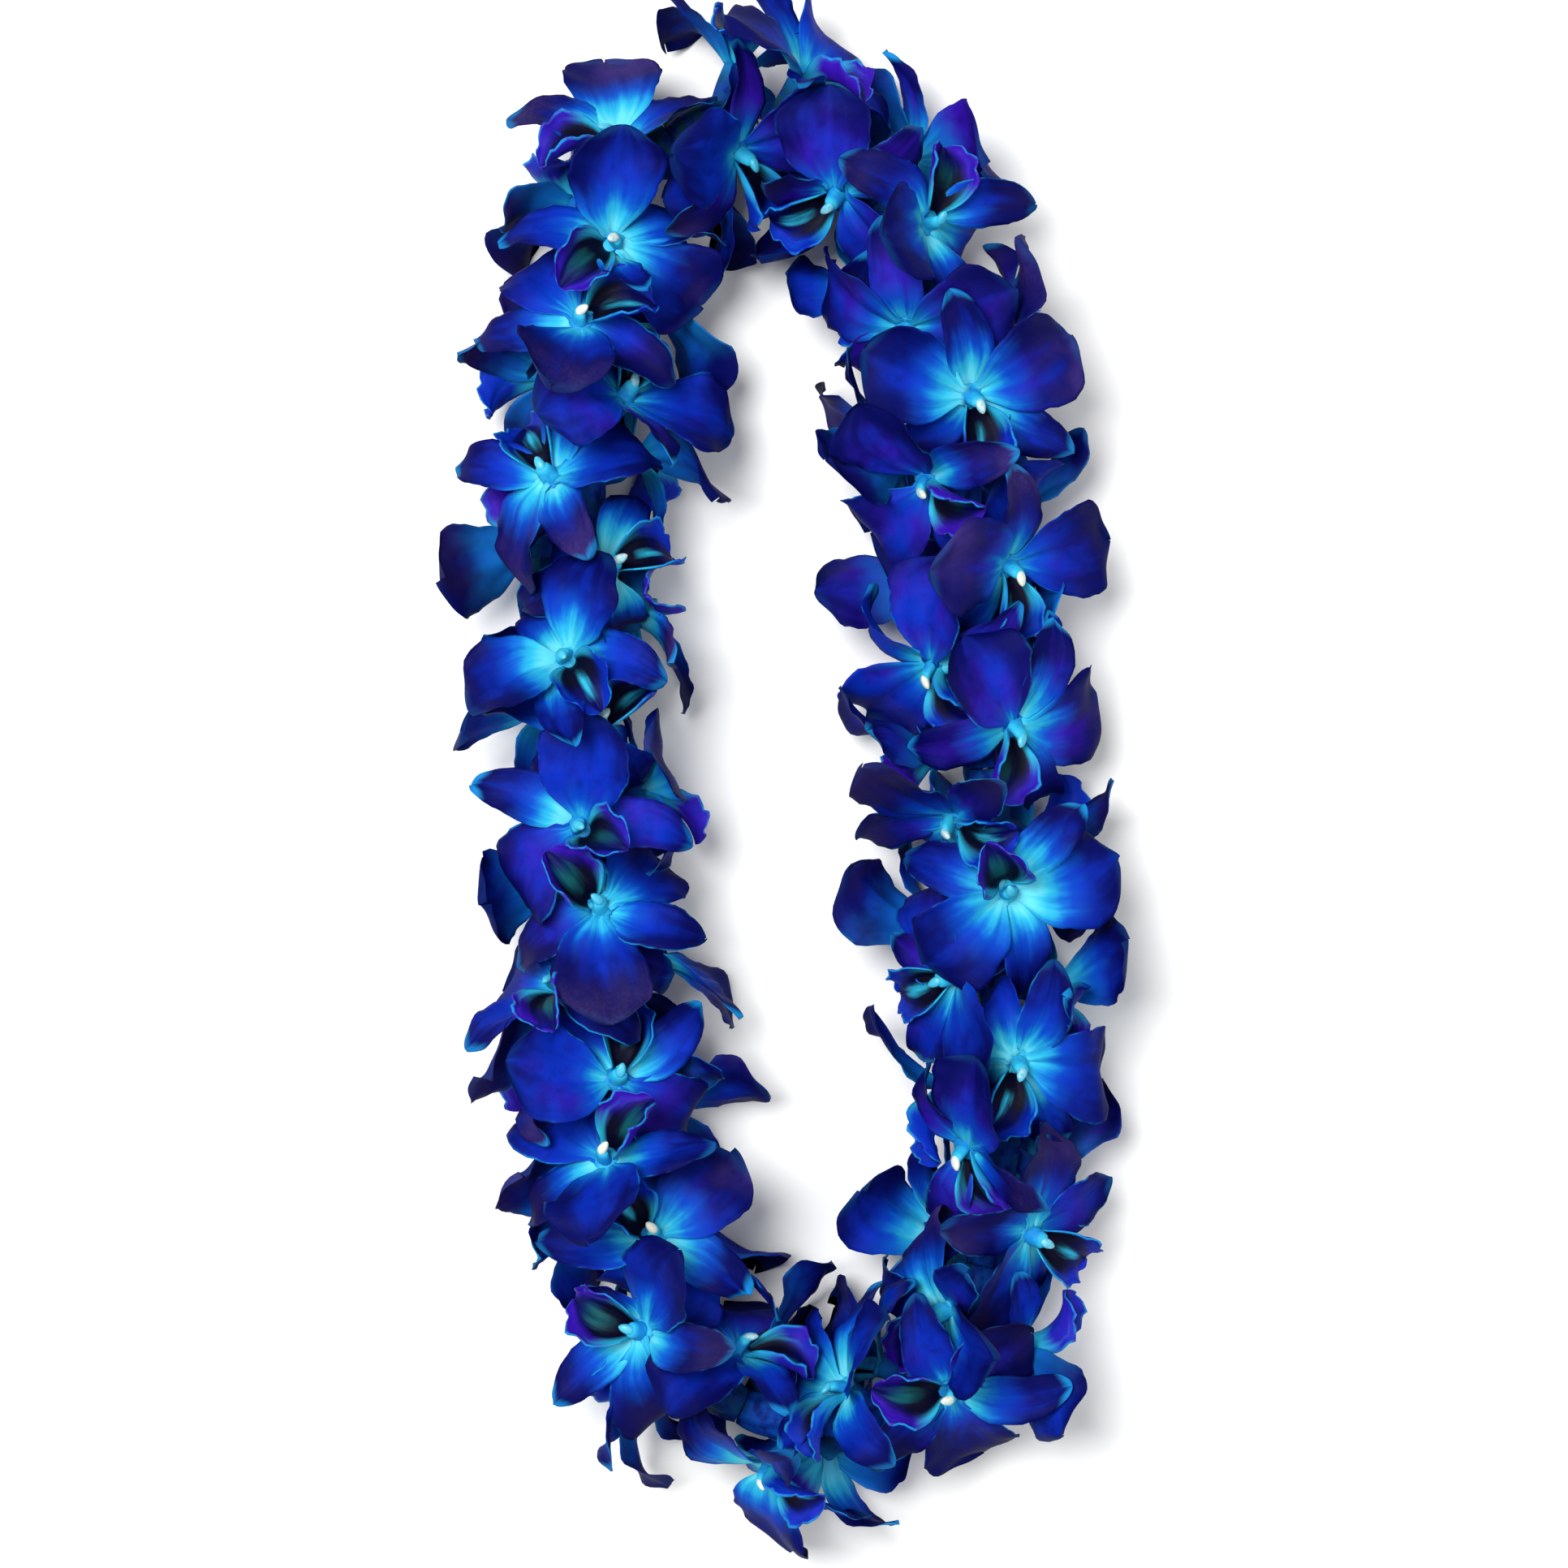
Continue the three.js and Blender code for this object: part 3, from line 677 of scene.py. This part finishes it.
class Graph:
    """A material's nodes, made one at a time and linked as they are made."""

    def __init__(self, name):
        self.material = bpy.data.materials.new(name)
        self.material.use_nodes = True
        self.tree = self.material.node_tree
        self.shader = self.tree.nodes["Principled BSDF"]

    def node(self, kind, inputs=(), **settings):
        node = self.tree.nodes.new(kind)
        for name, value in settings.items():
            setattr(node, name, value)
        for key, value in dict(inputs).items():
            self.set(node.inputs[key], value)
        return node

    def set(self, socket, value):
        if isinstance(value, Signal):
            self.tree.links.new(value.socket, socket)
        elif isinstance(value, tuple) and len(value) == 3 and socket.type == "RGBA":
            socket.default_value = (*value, 1)
        else:
            socket.default_value = value

    def math(self, operation, a, b=0.0):
        node = self.node("ShaderNodeMath", {0: a, 1: b}, operation=operation)
        return Signal(self, node.outputs[0])

    def attribute(self, name):
        return Signal(self, self.node("ShaderNodeAttribute", attribute_name=name).outputs["Fac"])

    def cloud(self, place, scale, detail):
        inputs = {"Vector": place, "Scale": scale, "Detail": detail}
        return Signal(self, self.node("ShaderNodeTexNoise", inputs).outputs["Fac"])

    def noise(self, scale, detail):
        """Noise laid through the whole lei."""
        place = self.node("ShaderNodeTexCoord").outputs["Object"]
        return self.cloud(Signal(self, place), scale, detail)

    def streaks(self, across, along, seed):
        """Noise laid on a blade itself, so it can run lengthwise. The seed sets blades apart."""
        place = self.node("ShaderNodeCombineXYZ", {0: across, 1: along, 2: seed}).outputs[0]
        return self.cloud(Signal(self, place), 1.0, 3.0)

    def step(self, value, low, high):
        """0 at low, 1 at high, smooth between them; low may be the larger."""
        inputs = {"Value": value, "From Min": low, "From Max": high}
        node = self.node("ShaderNodeMapRange", inputs, interpolation_type="SMOOTHSTEP")
        return Signal(self, node.outputs["Result"])

    def mix(self, share, a, b):
        """Colour a where the share is 0, and colour b where it is 1."""
        node = self.node("ShaderNodeMix", data_type="RGBA")
        for socket, value in zip((node.inputs[0], node.inputs[6], node.inputs[7]), (share, a, b)):
            self.set(socket, value)
        return Signal(self, node.outputs[2])

    def bump(self, height, distance, strength):
        inputs = {"Height": height, "Distance": distance, "Strength": strength}
        return Signal(self, self.node("ShaderNodeBump", inputs).outputs["Normal"])

    def finish(self, **sockets):
        for name, value in sockets.items():
            self.set(self.shader.inputs[name.replace("_", " ")], value)
        return self.material


# Colours, as linear values
ULTRAMARINE = (0.002, 0.022, 0.38)
DEEP_BLUE = (0.001, 0.002, 0.074)
VIOLET = (0.030, 0.005, 0.34)
DUSK = (0.014, 0.009, 0.066)
PLUM = (0.036, 0.020, 0.14)
AZURE = (0.002, 0.066, 0.47)
CYAN = (0.008, 0.21, 0.54)
TURQUOISE = (0.026, 0.43, 0.63)
PALE = (0.20, 0.74, 0.80)
# Near black: the lip's dark navy dye together with painted shade, for its throat.
SHADED_NAVY = (0.001, 0.001, 0.012)
TEAL = (0.003, 0.10, 0.11)
CREAM = (0.80, 0.78, 0.62)
# The spurs' green, kept very dark as painted shade.
SHADED_SPUR_GREEN = (0.003, 0.045, 0.05)
COTTON = (0.80, 0.77, 0.68)
STAINED_COTTON = (0.50, 0.60, 0.64)
FLOOR_GREY = (0.89, 0.895, 0.88)
FLOOR_WHITE = (0.92, 0.92, 0.91)

# The glow at a blade's base: each dye, where it starts and where it is full, and how strong it is
GLOW = (
    (AZURE, 0.06, -0.30, 1.0),
    (CYAN, -0.14, -0.36, 1.0),
    (TURQUOISE, -0.24, -0.44, 1.0),
    (PALE, -0.38, -0.54, 0.5),
)


def tepal_material(name, reach, rim, rim_until, tip):
    """Dyed petal skin: blue to violet, cyan at its base and its rim, dusky where it is bruised, and
    darkened down one side of each blade by painted shade.
    """
    g = Graph(name)
    along, across = g.attribute("along"), g.attribute("across")
    tint, dusk, front = g.attribute("tint"), g.attribute("dusk"), g.attribute("front")
    side = abs(across)
    patches = g.noise(70.0, 3.0)
    mottle = g.noise(260.0, 3.0)
    fine = g.noise(900.0, 2.0)
    streaks = g.streaks(across * 3.2, along * 1.1, tint * 40.0 + dusk * 17.0)
    own = g.math("FRACT", tint * 9.0 + dusk * 5.0)
    violet = g.step(tint * 0.8 + patches * 0.8, 0.85, 1.19)
    colour = g.mix(violet, ULTRAMARINE, VIOLET)
    outward = along * 0.75 + side * 0.2 + patches * 0.6 + streaks * 0.55 + dusk * 0.5
    colour = g.mix(g.step(outward, 1.0, 1.6), colour, DEEP_BLUE)
    bruise = g.step(dusk + patches * 0.6, 0.84, 1.12) * g.step(along + streaks * 0.4, 0.6, 1.1)
    speckled = g.step(own + fine * 0.5, 0.65, 1.0)
    colour = g.mix(bruise * 0.9, colour, g.mix(speckled, DUSK, PLUM))
    colour = g.mix(g.step(mottle, 0.45, 0.8) * 0.4, colour, DEEP_BLUE)
    # Painted shade: one side of each blade, picked at random, is darkened towards deep blue as if it lay
    # in shadow.
    painted_shade_side = across * (own * 2.0 - 1.0) + along * 0.35 + patches * 0.5
    colour = g.mix(g.step(painted_shade_side, 0.55, 1.10) * 0.85, colour, DEEP_BLUE)
    reached = along + side * 0.1 - streaks * 0.42 - patches * 0.24 - mottle * 0.08 - own * 0.24
    reached = reached + g.step(tint, 0.25, 0.75) * 0.17 + 0.06
    for dye, starts, full, strength in GLOW:
        colour = g.mix(g.step(reached, reach + starts, reach + full) * strength, colour, dye)
    edge = g.step(side + fine * 0.03, 1.0 - rim, 1.0) * g.step(along, rim_until, rim_until - 0.5)
    broken = g.step(mottle * 0.6 + patches + own * 0.5, 1.02, 0.66)
    colour = g.mix(edge * broken, colour, CYAN)
    lit_tip = g.step(along + side * 0.1 - streaks * 0.1, 0.86, 0.97) * tip * own
    colour = g.mix(lit_tip, colour, CYAN)
    behind = (1.0 - front) * g.step(along + patches * 0.6 + own * 0.3, 1.1, 0.5)
    colour = g.mix(behind * 0.5, colour, CYAN)
    return g.finish(
        Base_Color=colour,
        Roughness=0.5 + fine * 0.2,
        Normal=g.bump(streaks * 0.6 + fine * 0.4, 0.0002, 0.5),
        Specular_IOR_Level=0.05,
    )


def lip_material():
    """The lip: navy in its throat, deepened to near black by painted shade, with a bright tongue, blue to
    violet outside, with a cyan rim.
    """
    g = Graph("lip_skin")
    along, across = g.attribute("along"), g.attribute("across")
    tint, front = g.attribute("tint"), g.attribute("front")
    side = abs(across)
    patches = g.noise(160.0, 3.0)
    fine = g.noise(800.0, 2.0)
    streaks = g.streaks(across * 4.0, along * 1.2, tint * 40.0)
    outside = g.mix(g.step(tint + patches * 0.5, 0.5, 1.0), ULTRAMARINE, VIOLET)
    outside = g.mix(g.step(along - streaks * 0.35, 0.30, 0.0), outside, TURQUOISE)
    outside = g.mix(g.step(streaks, 0.5, 0.8) * g.step(along, 0.9, 0.3) * 0.5, outside, CYAN)
    # The throat is the lip's own dark blue with painted shade, darkest deep in its trough.
    inside = g.mix(g.step(along + patches * 0.3, 0.55, 0.9), SHADED_NAVY, DEEP_BLUE)
    inside = g.mix(g.step(side + along * 0.5 + streaks * 0.4, 0.85, 1.25), inside, outside)
    tongue = g.step(side + streaks * 0.7 - tint * 0.2, 0.50, 0.20)
    tongue = tongue * g.step(along + streaks * 0.5, 1.1, 0.8)
    tongue = tongue * g.step(along + patches * 0.4, 0.40, 0.70)
    inside = g.mix(tongue * g.step(tint, 0.6, 0.3), inside, TURQUOISE)
    inside = g.mix(tongue * g.step(tint, 0.3, 0.8) * 0.7, inside, TEAL)
    colour = g.mix(front, outside, inside)
    rim = g.step(side + fine * 0.05, 0.94, 1.0) * g.step(patches + fine * 0.2, 0.72, 0.50)
    colour = g.mix(rim, colour, CYAN)
    return g.finish(
        Base_Color=colour,
        Roughness=0.45 + fine * 0.2,
        Normal=g.bump(streaks * 0.6 + fine * 0.4, 0.0002, 0.5),
        Specular_IOR_Level=0.08,
    )


def column_material():
    """The column and the hub, stained turquoise and cyan by the dye."""
    g = Graph("column_skin")
    along, tint = g.attribute("along"), g.attribute("tint")
    patches = g.noise(350.0, 3.0)
    colour = g.mix(g.step(patches + tint * 0.5, 0.45, 0.95), TURQUOISE, CYAN)
    colour = g.mix(g.step(along + patches * 0.4, 0.75, 1.15), colour, TURQUOISE)
    return g.finish(
        Base_Color=colour,
        Roughness=0.42 + patches * 0.15,
        Normal=g.bump(patches, 0.0001, 0.5),
        Specular_IOR_Level=0.15,
    )


def cap_material():
    """The anther cap, waxy and cream, with some caps stained by the dye."""
    g = Graph("anther_cap")
    patches = g.noise(900.0, 2.0)
    stain = g.step(g.noise(26.0, 0.0) + patches * 0.2, 0.42, 0.60) * 0.85 + 0.12
    return g.finish(
        Base_Color=g.mix(stain, CREAM, TURQUOISE),
        Roughness=0.3 + patches * 0.15,
        Normal=g.bump(patches, 0.00008, 0.4),
    )


def spur_material():
    """Spurs and stalk ends: green under the dye, darkened by painted shade where they lie deep in the
    lei, and paler where a bloom's neck ends in its hub.
    """
    g = Graph("spur_skin")
    along, tint = g.attribute("along"), g.attribute("tint")
    patches = g.noise(240.0, 4.0)
    # Painted shade: the green and the deep blue patches are kept very dark, so the spurs read as shade
    # between the blooms.
    colour = g.mix(g.step(patches + tint * 0.3, 0.35, 0.85), SHADED_SPUR_GREEN, AZURE)
    colour = g.mix(g.step(patches, 0.40, 0.65) * 0.8, colour, DEEP_BLUE)
    colour = g.mix(g.step(along, 0.45, 0.0) * 0.6, colour, CYAN)
    return g.finish(
        Base_Color=colour,
        Roughness=0.6 + patches * 0.2,
        Normal=g.bump(patches, 0.0003, 0.6),
        Specular_IOR_Level=0.1,
    )


def string_material():
    """Cotton thread: off-white, with fine fibres."""
    g = Graph("cotton_thread")
    fibres = g.noise(2500.0, 3.0)
    return g.finish(
        Base_Color=g.mix(fibres * 0.6, COTTON, STAINED_COTTON),
        Roughness=0.75 + fibres * 0.2,
        Normal=g.bump(fibres, 0.0001, 0.8),
    )


def floor_material():
    """The pale surface under the lei."""
    g = Graph("pale_floor")
    grain = g.noise(60.0, 3.0)
    return g.finish(Base_Color=g.mix(grain, FLOOR_GREY, FLOOR_WHITE), Roughness=0.6 + grain * 0.1)


# The pairs of blooms
BLOOM_SKINS = [
    tepal_material("petal_skin", reach=0.12, rim=0.04, rim_until=0.8, tip=0.1),
    tepal_material("sepal_skin", reach=0.18, rim=0.07, rim_until=1.3, tip=1.0),
    lip_material(),
    column_material(),
    spur_material(),
]
PETAL_SLOT, SEPAL_SLOT, LIP_SLOT, COLUMN_SLOT, SPUR_SLOT = range(5)


def add_bloom(piece, bloom, tree):
    """One bloom, with the blades that the CAD bloom has."""
    add_hub(piece, bloom, COLUMN_SLOT)
    add_column(piece, bloom, COLUMN_SLOT)
    add_spur(piece, bloom, SPUR_SLOT)
    for index, (kind, _) in enumerate(BLADES):
        shape = find_shape(bloom, index, tree)
        if shape is None:
            continue
        if kind is LIP:
            add_lip(piece, bloom, index, shape, LIP_SLOT)
        else:
            add_petal(piece, bloom, index, shape, PETAL_SLOT if kind is PETAL else SEPAL_SLOT)


def make_pair(ring_number):
    """Two blooms side by side, with their stretch of packed spurs."""
    node = f"bloom_pair_{ring_number + 1:02d}"
    tree = corner_tree(node)
    piece = Piece()
    for bloom in blooms[2 * ring_number : 2 * ring_number + 2]:
        add_bloom(piece, bloom, tree)
    add_pack(piece, ring_number, SPUR_SLOT)
    ob = piece.object(f"blooms_{ring_number + 1:02d}", BLOOM_SKINS)
    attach(ob, "root")
    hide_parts(node)


blooms = [bloom_frame(n) for n in range(2 * RINGS)]
for ring_number in range(RINGS):
    make_pair(ring_number)


# Anther caps, one on the end of each column, placed by nodes
CAP_HALF_LENGTH = 2.5
CAP_HALF_WIDTH = 1.5
CAP_HALF_DEPTH = 1.25
CAP_RINGS = 9
CAP_SIDES = 16
CAP_END = 0.97  # where its last ring lies, as a share of its half length
CAP_TAPER = 0.18
GROOVE_DEPTH = 0.14
GROOVE_WIDTH = 0.35
CAP_RISE = 0.55  # radians by which its nose points up from the bloom's face
CAP_LIFT = 0.2
CAP_FORWARD = 0.5


def cap_mesh():
    """A small helmet: rounded, narrower to its front, with a groove between its two halves."""
    cap = Piece()
    rings = []
    for tip in np.linspace(-CAP_END, CAP_END, CAP_RINGS):
        size = math.sqrt(1 - tip * tip) * (1 - CAP_TAPER * tip)
        a = FULL_TURN * np.arange(CAP_SIDES) / CAP_SIDES
        groove = 1 - GROOVE_DEPTH * np.exp(-(((a - math.pi / 2) / GROOVE_WIDTH) ** 2))
        x = np.cos(a) * size * CAP_HALF_WIDTH * groove
        y = np.sin(a) * size * CAP_HALF_DEPTH * groove
        rings.append(np.stack([x, y, np.full(CAP_SIDES, tip * CAP_HALF_LENGTH)], axis=1))
    cap.tube(np.array(rings) - SHIFT, {}, 0)  # its mesh adds the shift again
    return cap.mesh("anther_cap_form", [])


def new_tree(name, numbers):
    """A node group that takes and gives geometry, with named number inputs."""
    tree = bpy.data.node_groups.new(name, "GeometryNodeTree")
    tree.interface.new_socket("Geometry", in_out="INPUT", socket_type="NodeSocketGeometry")
    for key, value in numbers.items():
        socket = tree.interface.new_socket(key, in_out="INPUT", socket_type="NodeSocketFloat")
        socket.default_value = value
    tree.interface.new_socket("Geometry", in_out="OUTPUT", socket_type="NodeSocketGeometry")
    return tree


def add_node(tree, kind, inputs=(), **settings):
    node = tree.nodes.new(kind)
    for name, value in settings.items():
        setattr(node, name, value)
    for key, value in dict(inputs).items():
        if isinstance(value, bpy.types.NodeSocket):
            tree.links.new(value, node.inputs[key])
        else:
            node.inputs[key].default_value = value
    return node


def evaluated(name, ob, tree):
    """Runs a node group on an object once and keeps the result as a plain mesh object."""
    modifier = ob.modifiers.new("nodes", "NODES")
    modifier.node_group = tree
    graph = bpy.context.evaluated_depsgraph_get()
    mesh = bpy.data.meshes.new_from_object(ob.evaluated_get(graph), depsgraph=graph)
    ob.modifiers.remove(modifier)
    bpy.data.objects.remove(ob)
    result = bpy.data.objects.new(name, mesh)
    bpy.context.scene.collection.objects.link(result)
    return result


def column_ends():
    """A point at the end of each column, with the turn that the cap takes there."""
    points = bpy.data.meshes.new("column_ends")
    heads = [head_of(b) + b["face"] * CAP_LIFT - b["up"] * CAP_FORWARD for b in blooms]
    points.from_pydata([tuple((head + SHIFT) * MM) for head in heads], [], [])
    turns = points.attributes.new("turn", "FLOAT_VECTOR", "POINT")
    for bloom, item in zip(blooms, turns.data):
        ahead = unit(bloom["face"] * math.sin(CAP_RISE) - bloom["up"] * math.cos(CAP_RISE))
        over = np.cross(ahead, bloom["right"])
        axes = Matrix((bloom["right"], over, ahead)).transposed()
        item.vector = axes.to_euler()
    ob = bpy.data.objects.new("column_ends", points)
    bpy.context.scene.collection.objects.link(ob)
    return ob


def caps_on_columns(form):
    """The nodes that put a form on every point and turn it as the point says."""
    tree = new_tree("caps_on_columns", {"Size": 1.0})
    start = tree.nodes.new("NodeGroupInput")
    info = add_node(tree, "GeometryNodeObjectInfo", {"Object": form})
    turn = add_node(tree, "GeometryNodeInputNamedAttribute", {"Name": "turn"}, data_type="FLOAT_VECTOR")
    rotation = add_node(tree, "FunctionNodeEulerToRotation", {0: turn.outputs["Attribute"]})
    inputs = {
        "Points": start.outputs["Geometry"],
        "Instance": info.outputs["Geometry"],
        "Rotation": rotation.outputs[0],
        "Scale": start.outputs["Size"],
    }
    placed = add_node(tree, "GeometryNodeInstanceOnPoints", inputs)
    real = add_node(tree, "GeometryNodeRealizeInstances", {0: placed.outputs[0]})
    inputs = {"Geometry": real.outputs[0], "Material": cap_material()}
    skinned = add_node(tree, "GeometryNodeSetMaterial", inputs)
    rounded = add_node(tree, "GeometryNodeSetShadeSmooth", {0: skinned.outputs[0]})
    end = tree.nodes.new("NodeGroupOutput")
    tree.links.new(rounded.outputs[0], end.inputs[0])
    return tree


def make_caps():
    """The anther caps of all the blooms, as one piece."""
    form = bpy.data.objects.new("anther_cap_form", cap_mesh())
    bpy.context.scene.collection.objects.link(form)
    caps = evaluated("anther_caps", column_ends(), caps_on_columns(form))
    bpy.data.objects.remove(form)
    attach(caps, "root")


make_caps()


# The string: three plies twisted along the loop, with its knot and two cut ends
PLIES = 3
TWIST_PITCH = 5.0
TWIST_RATE = FULL_TURN * round(LOOP / TWIST_PITCH) / LOOP  # whole turns, so that the loop closes
PLY_SIDES = 18
PLY_FURROW = 0.78  # the radius between two plies, as a share of the string's
PLY_CREST = 0.2  # how much more that is on a ply
STRING_STEPS = 1200
TAIL_STEPS = 14
KNOT_STEPS = 90
KNOT_TURNS = 3
KNOT_CORD = 30  # the length of string that its turns take
COIL_RADIUS = KNOT_RADIUS - 0.85  # the string's middle line lies inside the knot's outline
COIL_HALF = KNOT_HALF - 0.8


def string_sweep(points, ways, outs, lengths):
    """Rings of a three-lobed section that turns as it goes."""
    a = FULL_TURN * np.arange(PLY_SIDES) / PLY_SIDES
    lobes = STRING_RADIUS * (PLY_FURROW + PLY_CREST * np.abs(np.cos(PLIES * a / 2)))
    rings = []
    for point, way, out, length in zip(points, ways, outs, lengths):
        over = np.cross(way, out)
        turned = a + TWIST_RATE * length
        sideways = (np.cos(turned) * lobes)[:, None] * out
        rings.append(point + sideways + (np.sin(turned) * lobes)[:, None] * over)
    return np.array(rings)[:, ::-1]


def add_string_loop(piece):
    lengths = np.arange(STRING_STEPS) * LOOP / STRING_STEPS
    points, ways, outs = zip(*(on_loop(length) for length in lengths))
    rings = piece.add(string_sweep(points, ways, outs, lengths), {})
    after = np.roll(rings, -1, axis=0)
    beside = np.roll(rings, -1, axis=1)
    piece.quads(rings, beside, np.roll(beside, -1, axis=0), after, 0)


def add_cut_ends(piece):
    """The two ends of the string, straight out of the knot."""
    middle, way, out = on_loop(0)
    reach = np.linspace(0, TAIL, TAIL_STEPS)
    for azimuth in TAIL_AZIMUTHS:
        away = radial(out, azimuth)
        side = np.cross(away, way)
        points = [middle + away * r for r in reach]
        rings = string_sweep(points, [away] * TAIL_STEPS, [side] * TAIL_STEPS, reach)
        piece.tube(rings, {}, 0)


def add_knot(piece):
    """The knot, as turns of the string wound tightly round it."""
    middle, way, out = on_loop(0)
    share = np.linspace(0, 1, KNOT_STEPS)
    angle = FULL_TURN * KNOT_TURNS * share
    spokes = np.cos(angle)[:, None] * out + np.sin(angle)[:, None] * UP
    path = middle + way * ((share - 0.5) * 2 * COIL_HALF)[:, None] + spokes * COIL_RADIUS
    ways = np.gradient(path, axis=0)
    ways /= np.linalg.norm(ways, axis=1)[:, None]
    piece.tube(string_sweep(path, ways, spokes, KNOT_CORD * share), {}, 0)


def make_string():
    piece = Piece()
    add_string_loop(piece)
    add_cut_ends(piece)
    add_knot(piece)
    string = piece.object("string_twisted", [string_material()])
    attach(string, "root")
    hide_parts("string")


make_string()


# Floor, light and camera, in metres
FLOOR_SIZE = 6.0
FLOOR_DROP = 0.0003
KEY_LIGHT = dict(place=(-0.55, 0.38, 1.7), size=1.0, power=40)
FILL_LIGHT = dict(place=(0.8, -0.6, 1.6), size=1.6, power=10)
SKY_WHITE = (1, 1, 1, 1)
SKY_STRENGTH = 0.38
CAMERA_HEIGHT = 1.15
SENSOR = 36
FRAME_WIDTH = 0.480  # what the photograph's frame spans at the lei's middle height
FRAME_SHIFT = -0.0037  # how far the frame's middle lies towards the lei's front end


def make_floor():
    bpy.ops.mesh.primitive_plane_add(size=FLOOR_SIZE, location=(0, 0, -FLOOR_DROP))
    floor = bpy.context.object
    floor.name = "floor"
    floor.data.materials.append(floor_material())


def add_area(name, place, size, power):
    """A round soft light that points at the lei."""
    light = bpy.data.lights.new(name, "AREA")
    light.energy = power
    light.shape = "DISK"
    light.size = size
    ob = bpy.data.objects.new(name, light)
    ob.location = place
    ob.rotation_euler = (-Vector(place)).to_track_quat("-Z", "Y").to_euler()
    bpy.context.scene.collection.objects.link(ob)


def make_light():
    add_area("key_light", **KEY_LIGHT)
    add_area("fill_light", **FILL_LIGHT)
    world = bpy.data.worlds.new("studio")
    world.use_nodes = True
    world.node_tree.nodes["Background"].inputs["Color"].default_value = SKY_WHITE
    world.node_tree.nodes["Background"].inputs["Strength"].default_value = SKY_STRENGTH
    bpy.context.scene.world = world
    bpy.context.scene.view_settings.view_transform = "Standard"


def make_camera():
    low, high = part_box("string")
    camera = bpy.data.cameras.new("camera")
    camera.sensor_width = SENSOR
    camera.lens = SENSOR * (CAMERA_HEIGHT - (low[2] + high[2]) / 2) / FRAME_WIDTH
    camera.clip_start = 0.01
    ob = bpy.data.objects.new("camera", camera)
    ob.location = (0, FRAME_SHIFT, CAMERA_HEIGHT)
    bpy.context.scene.collection.objects.link(ob)
    bpy.context.scene.camera = ob


make_floor()
make_light()
make_camera()
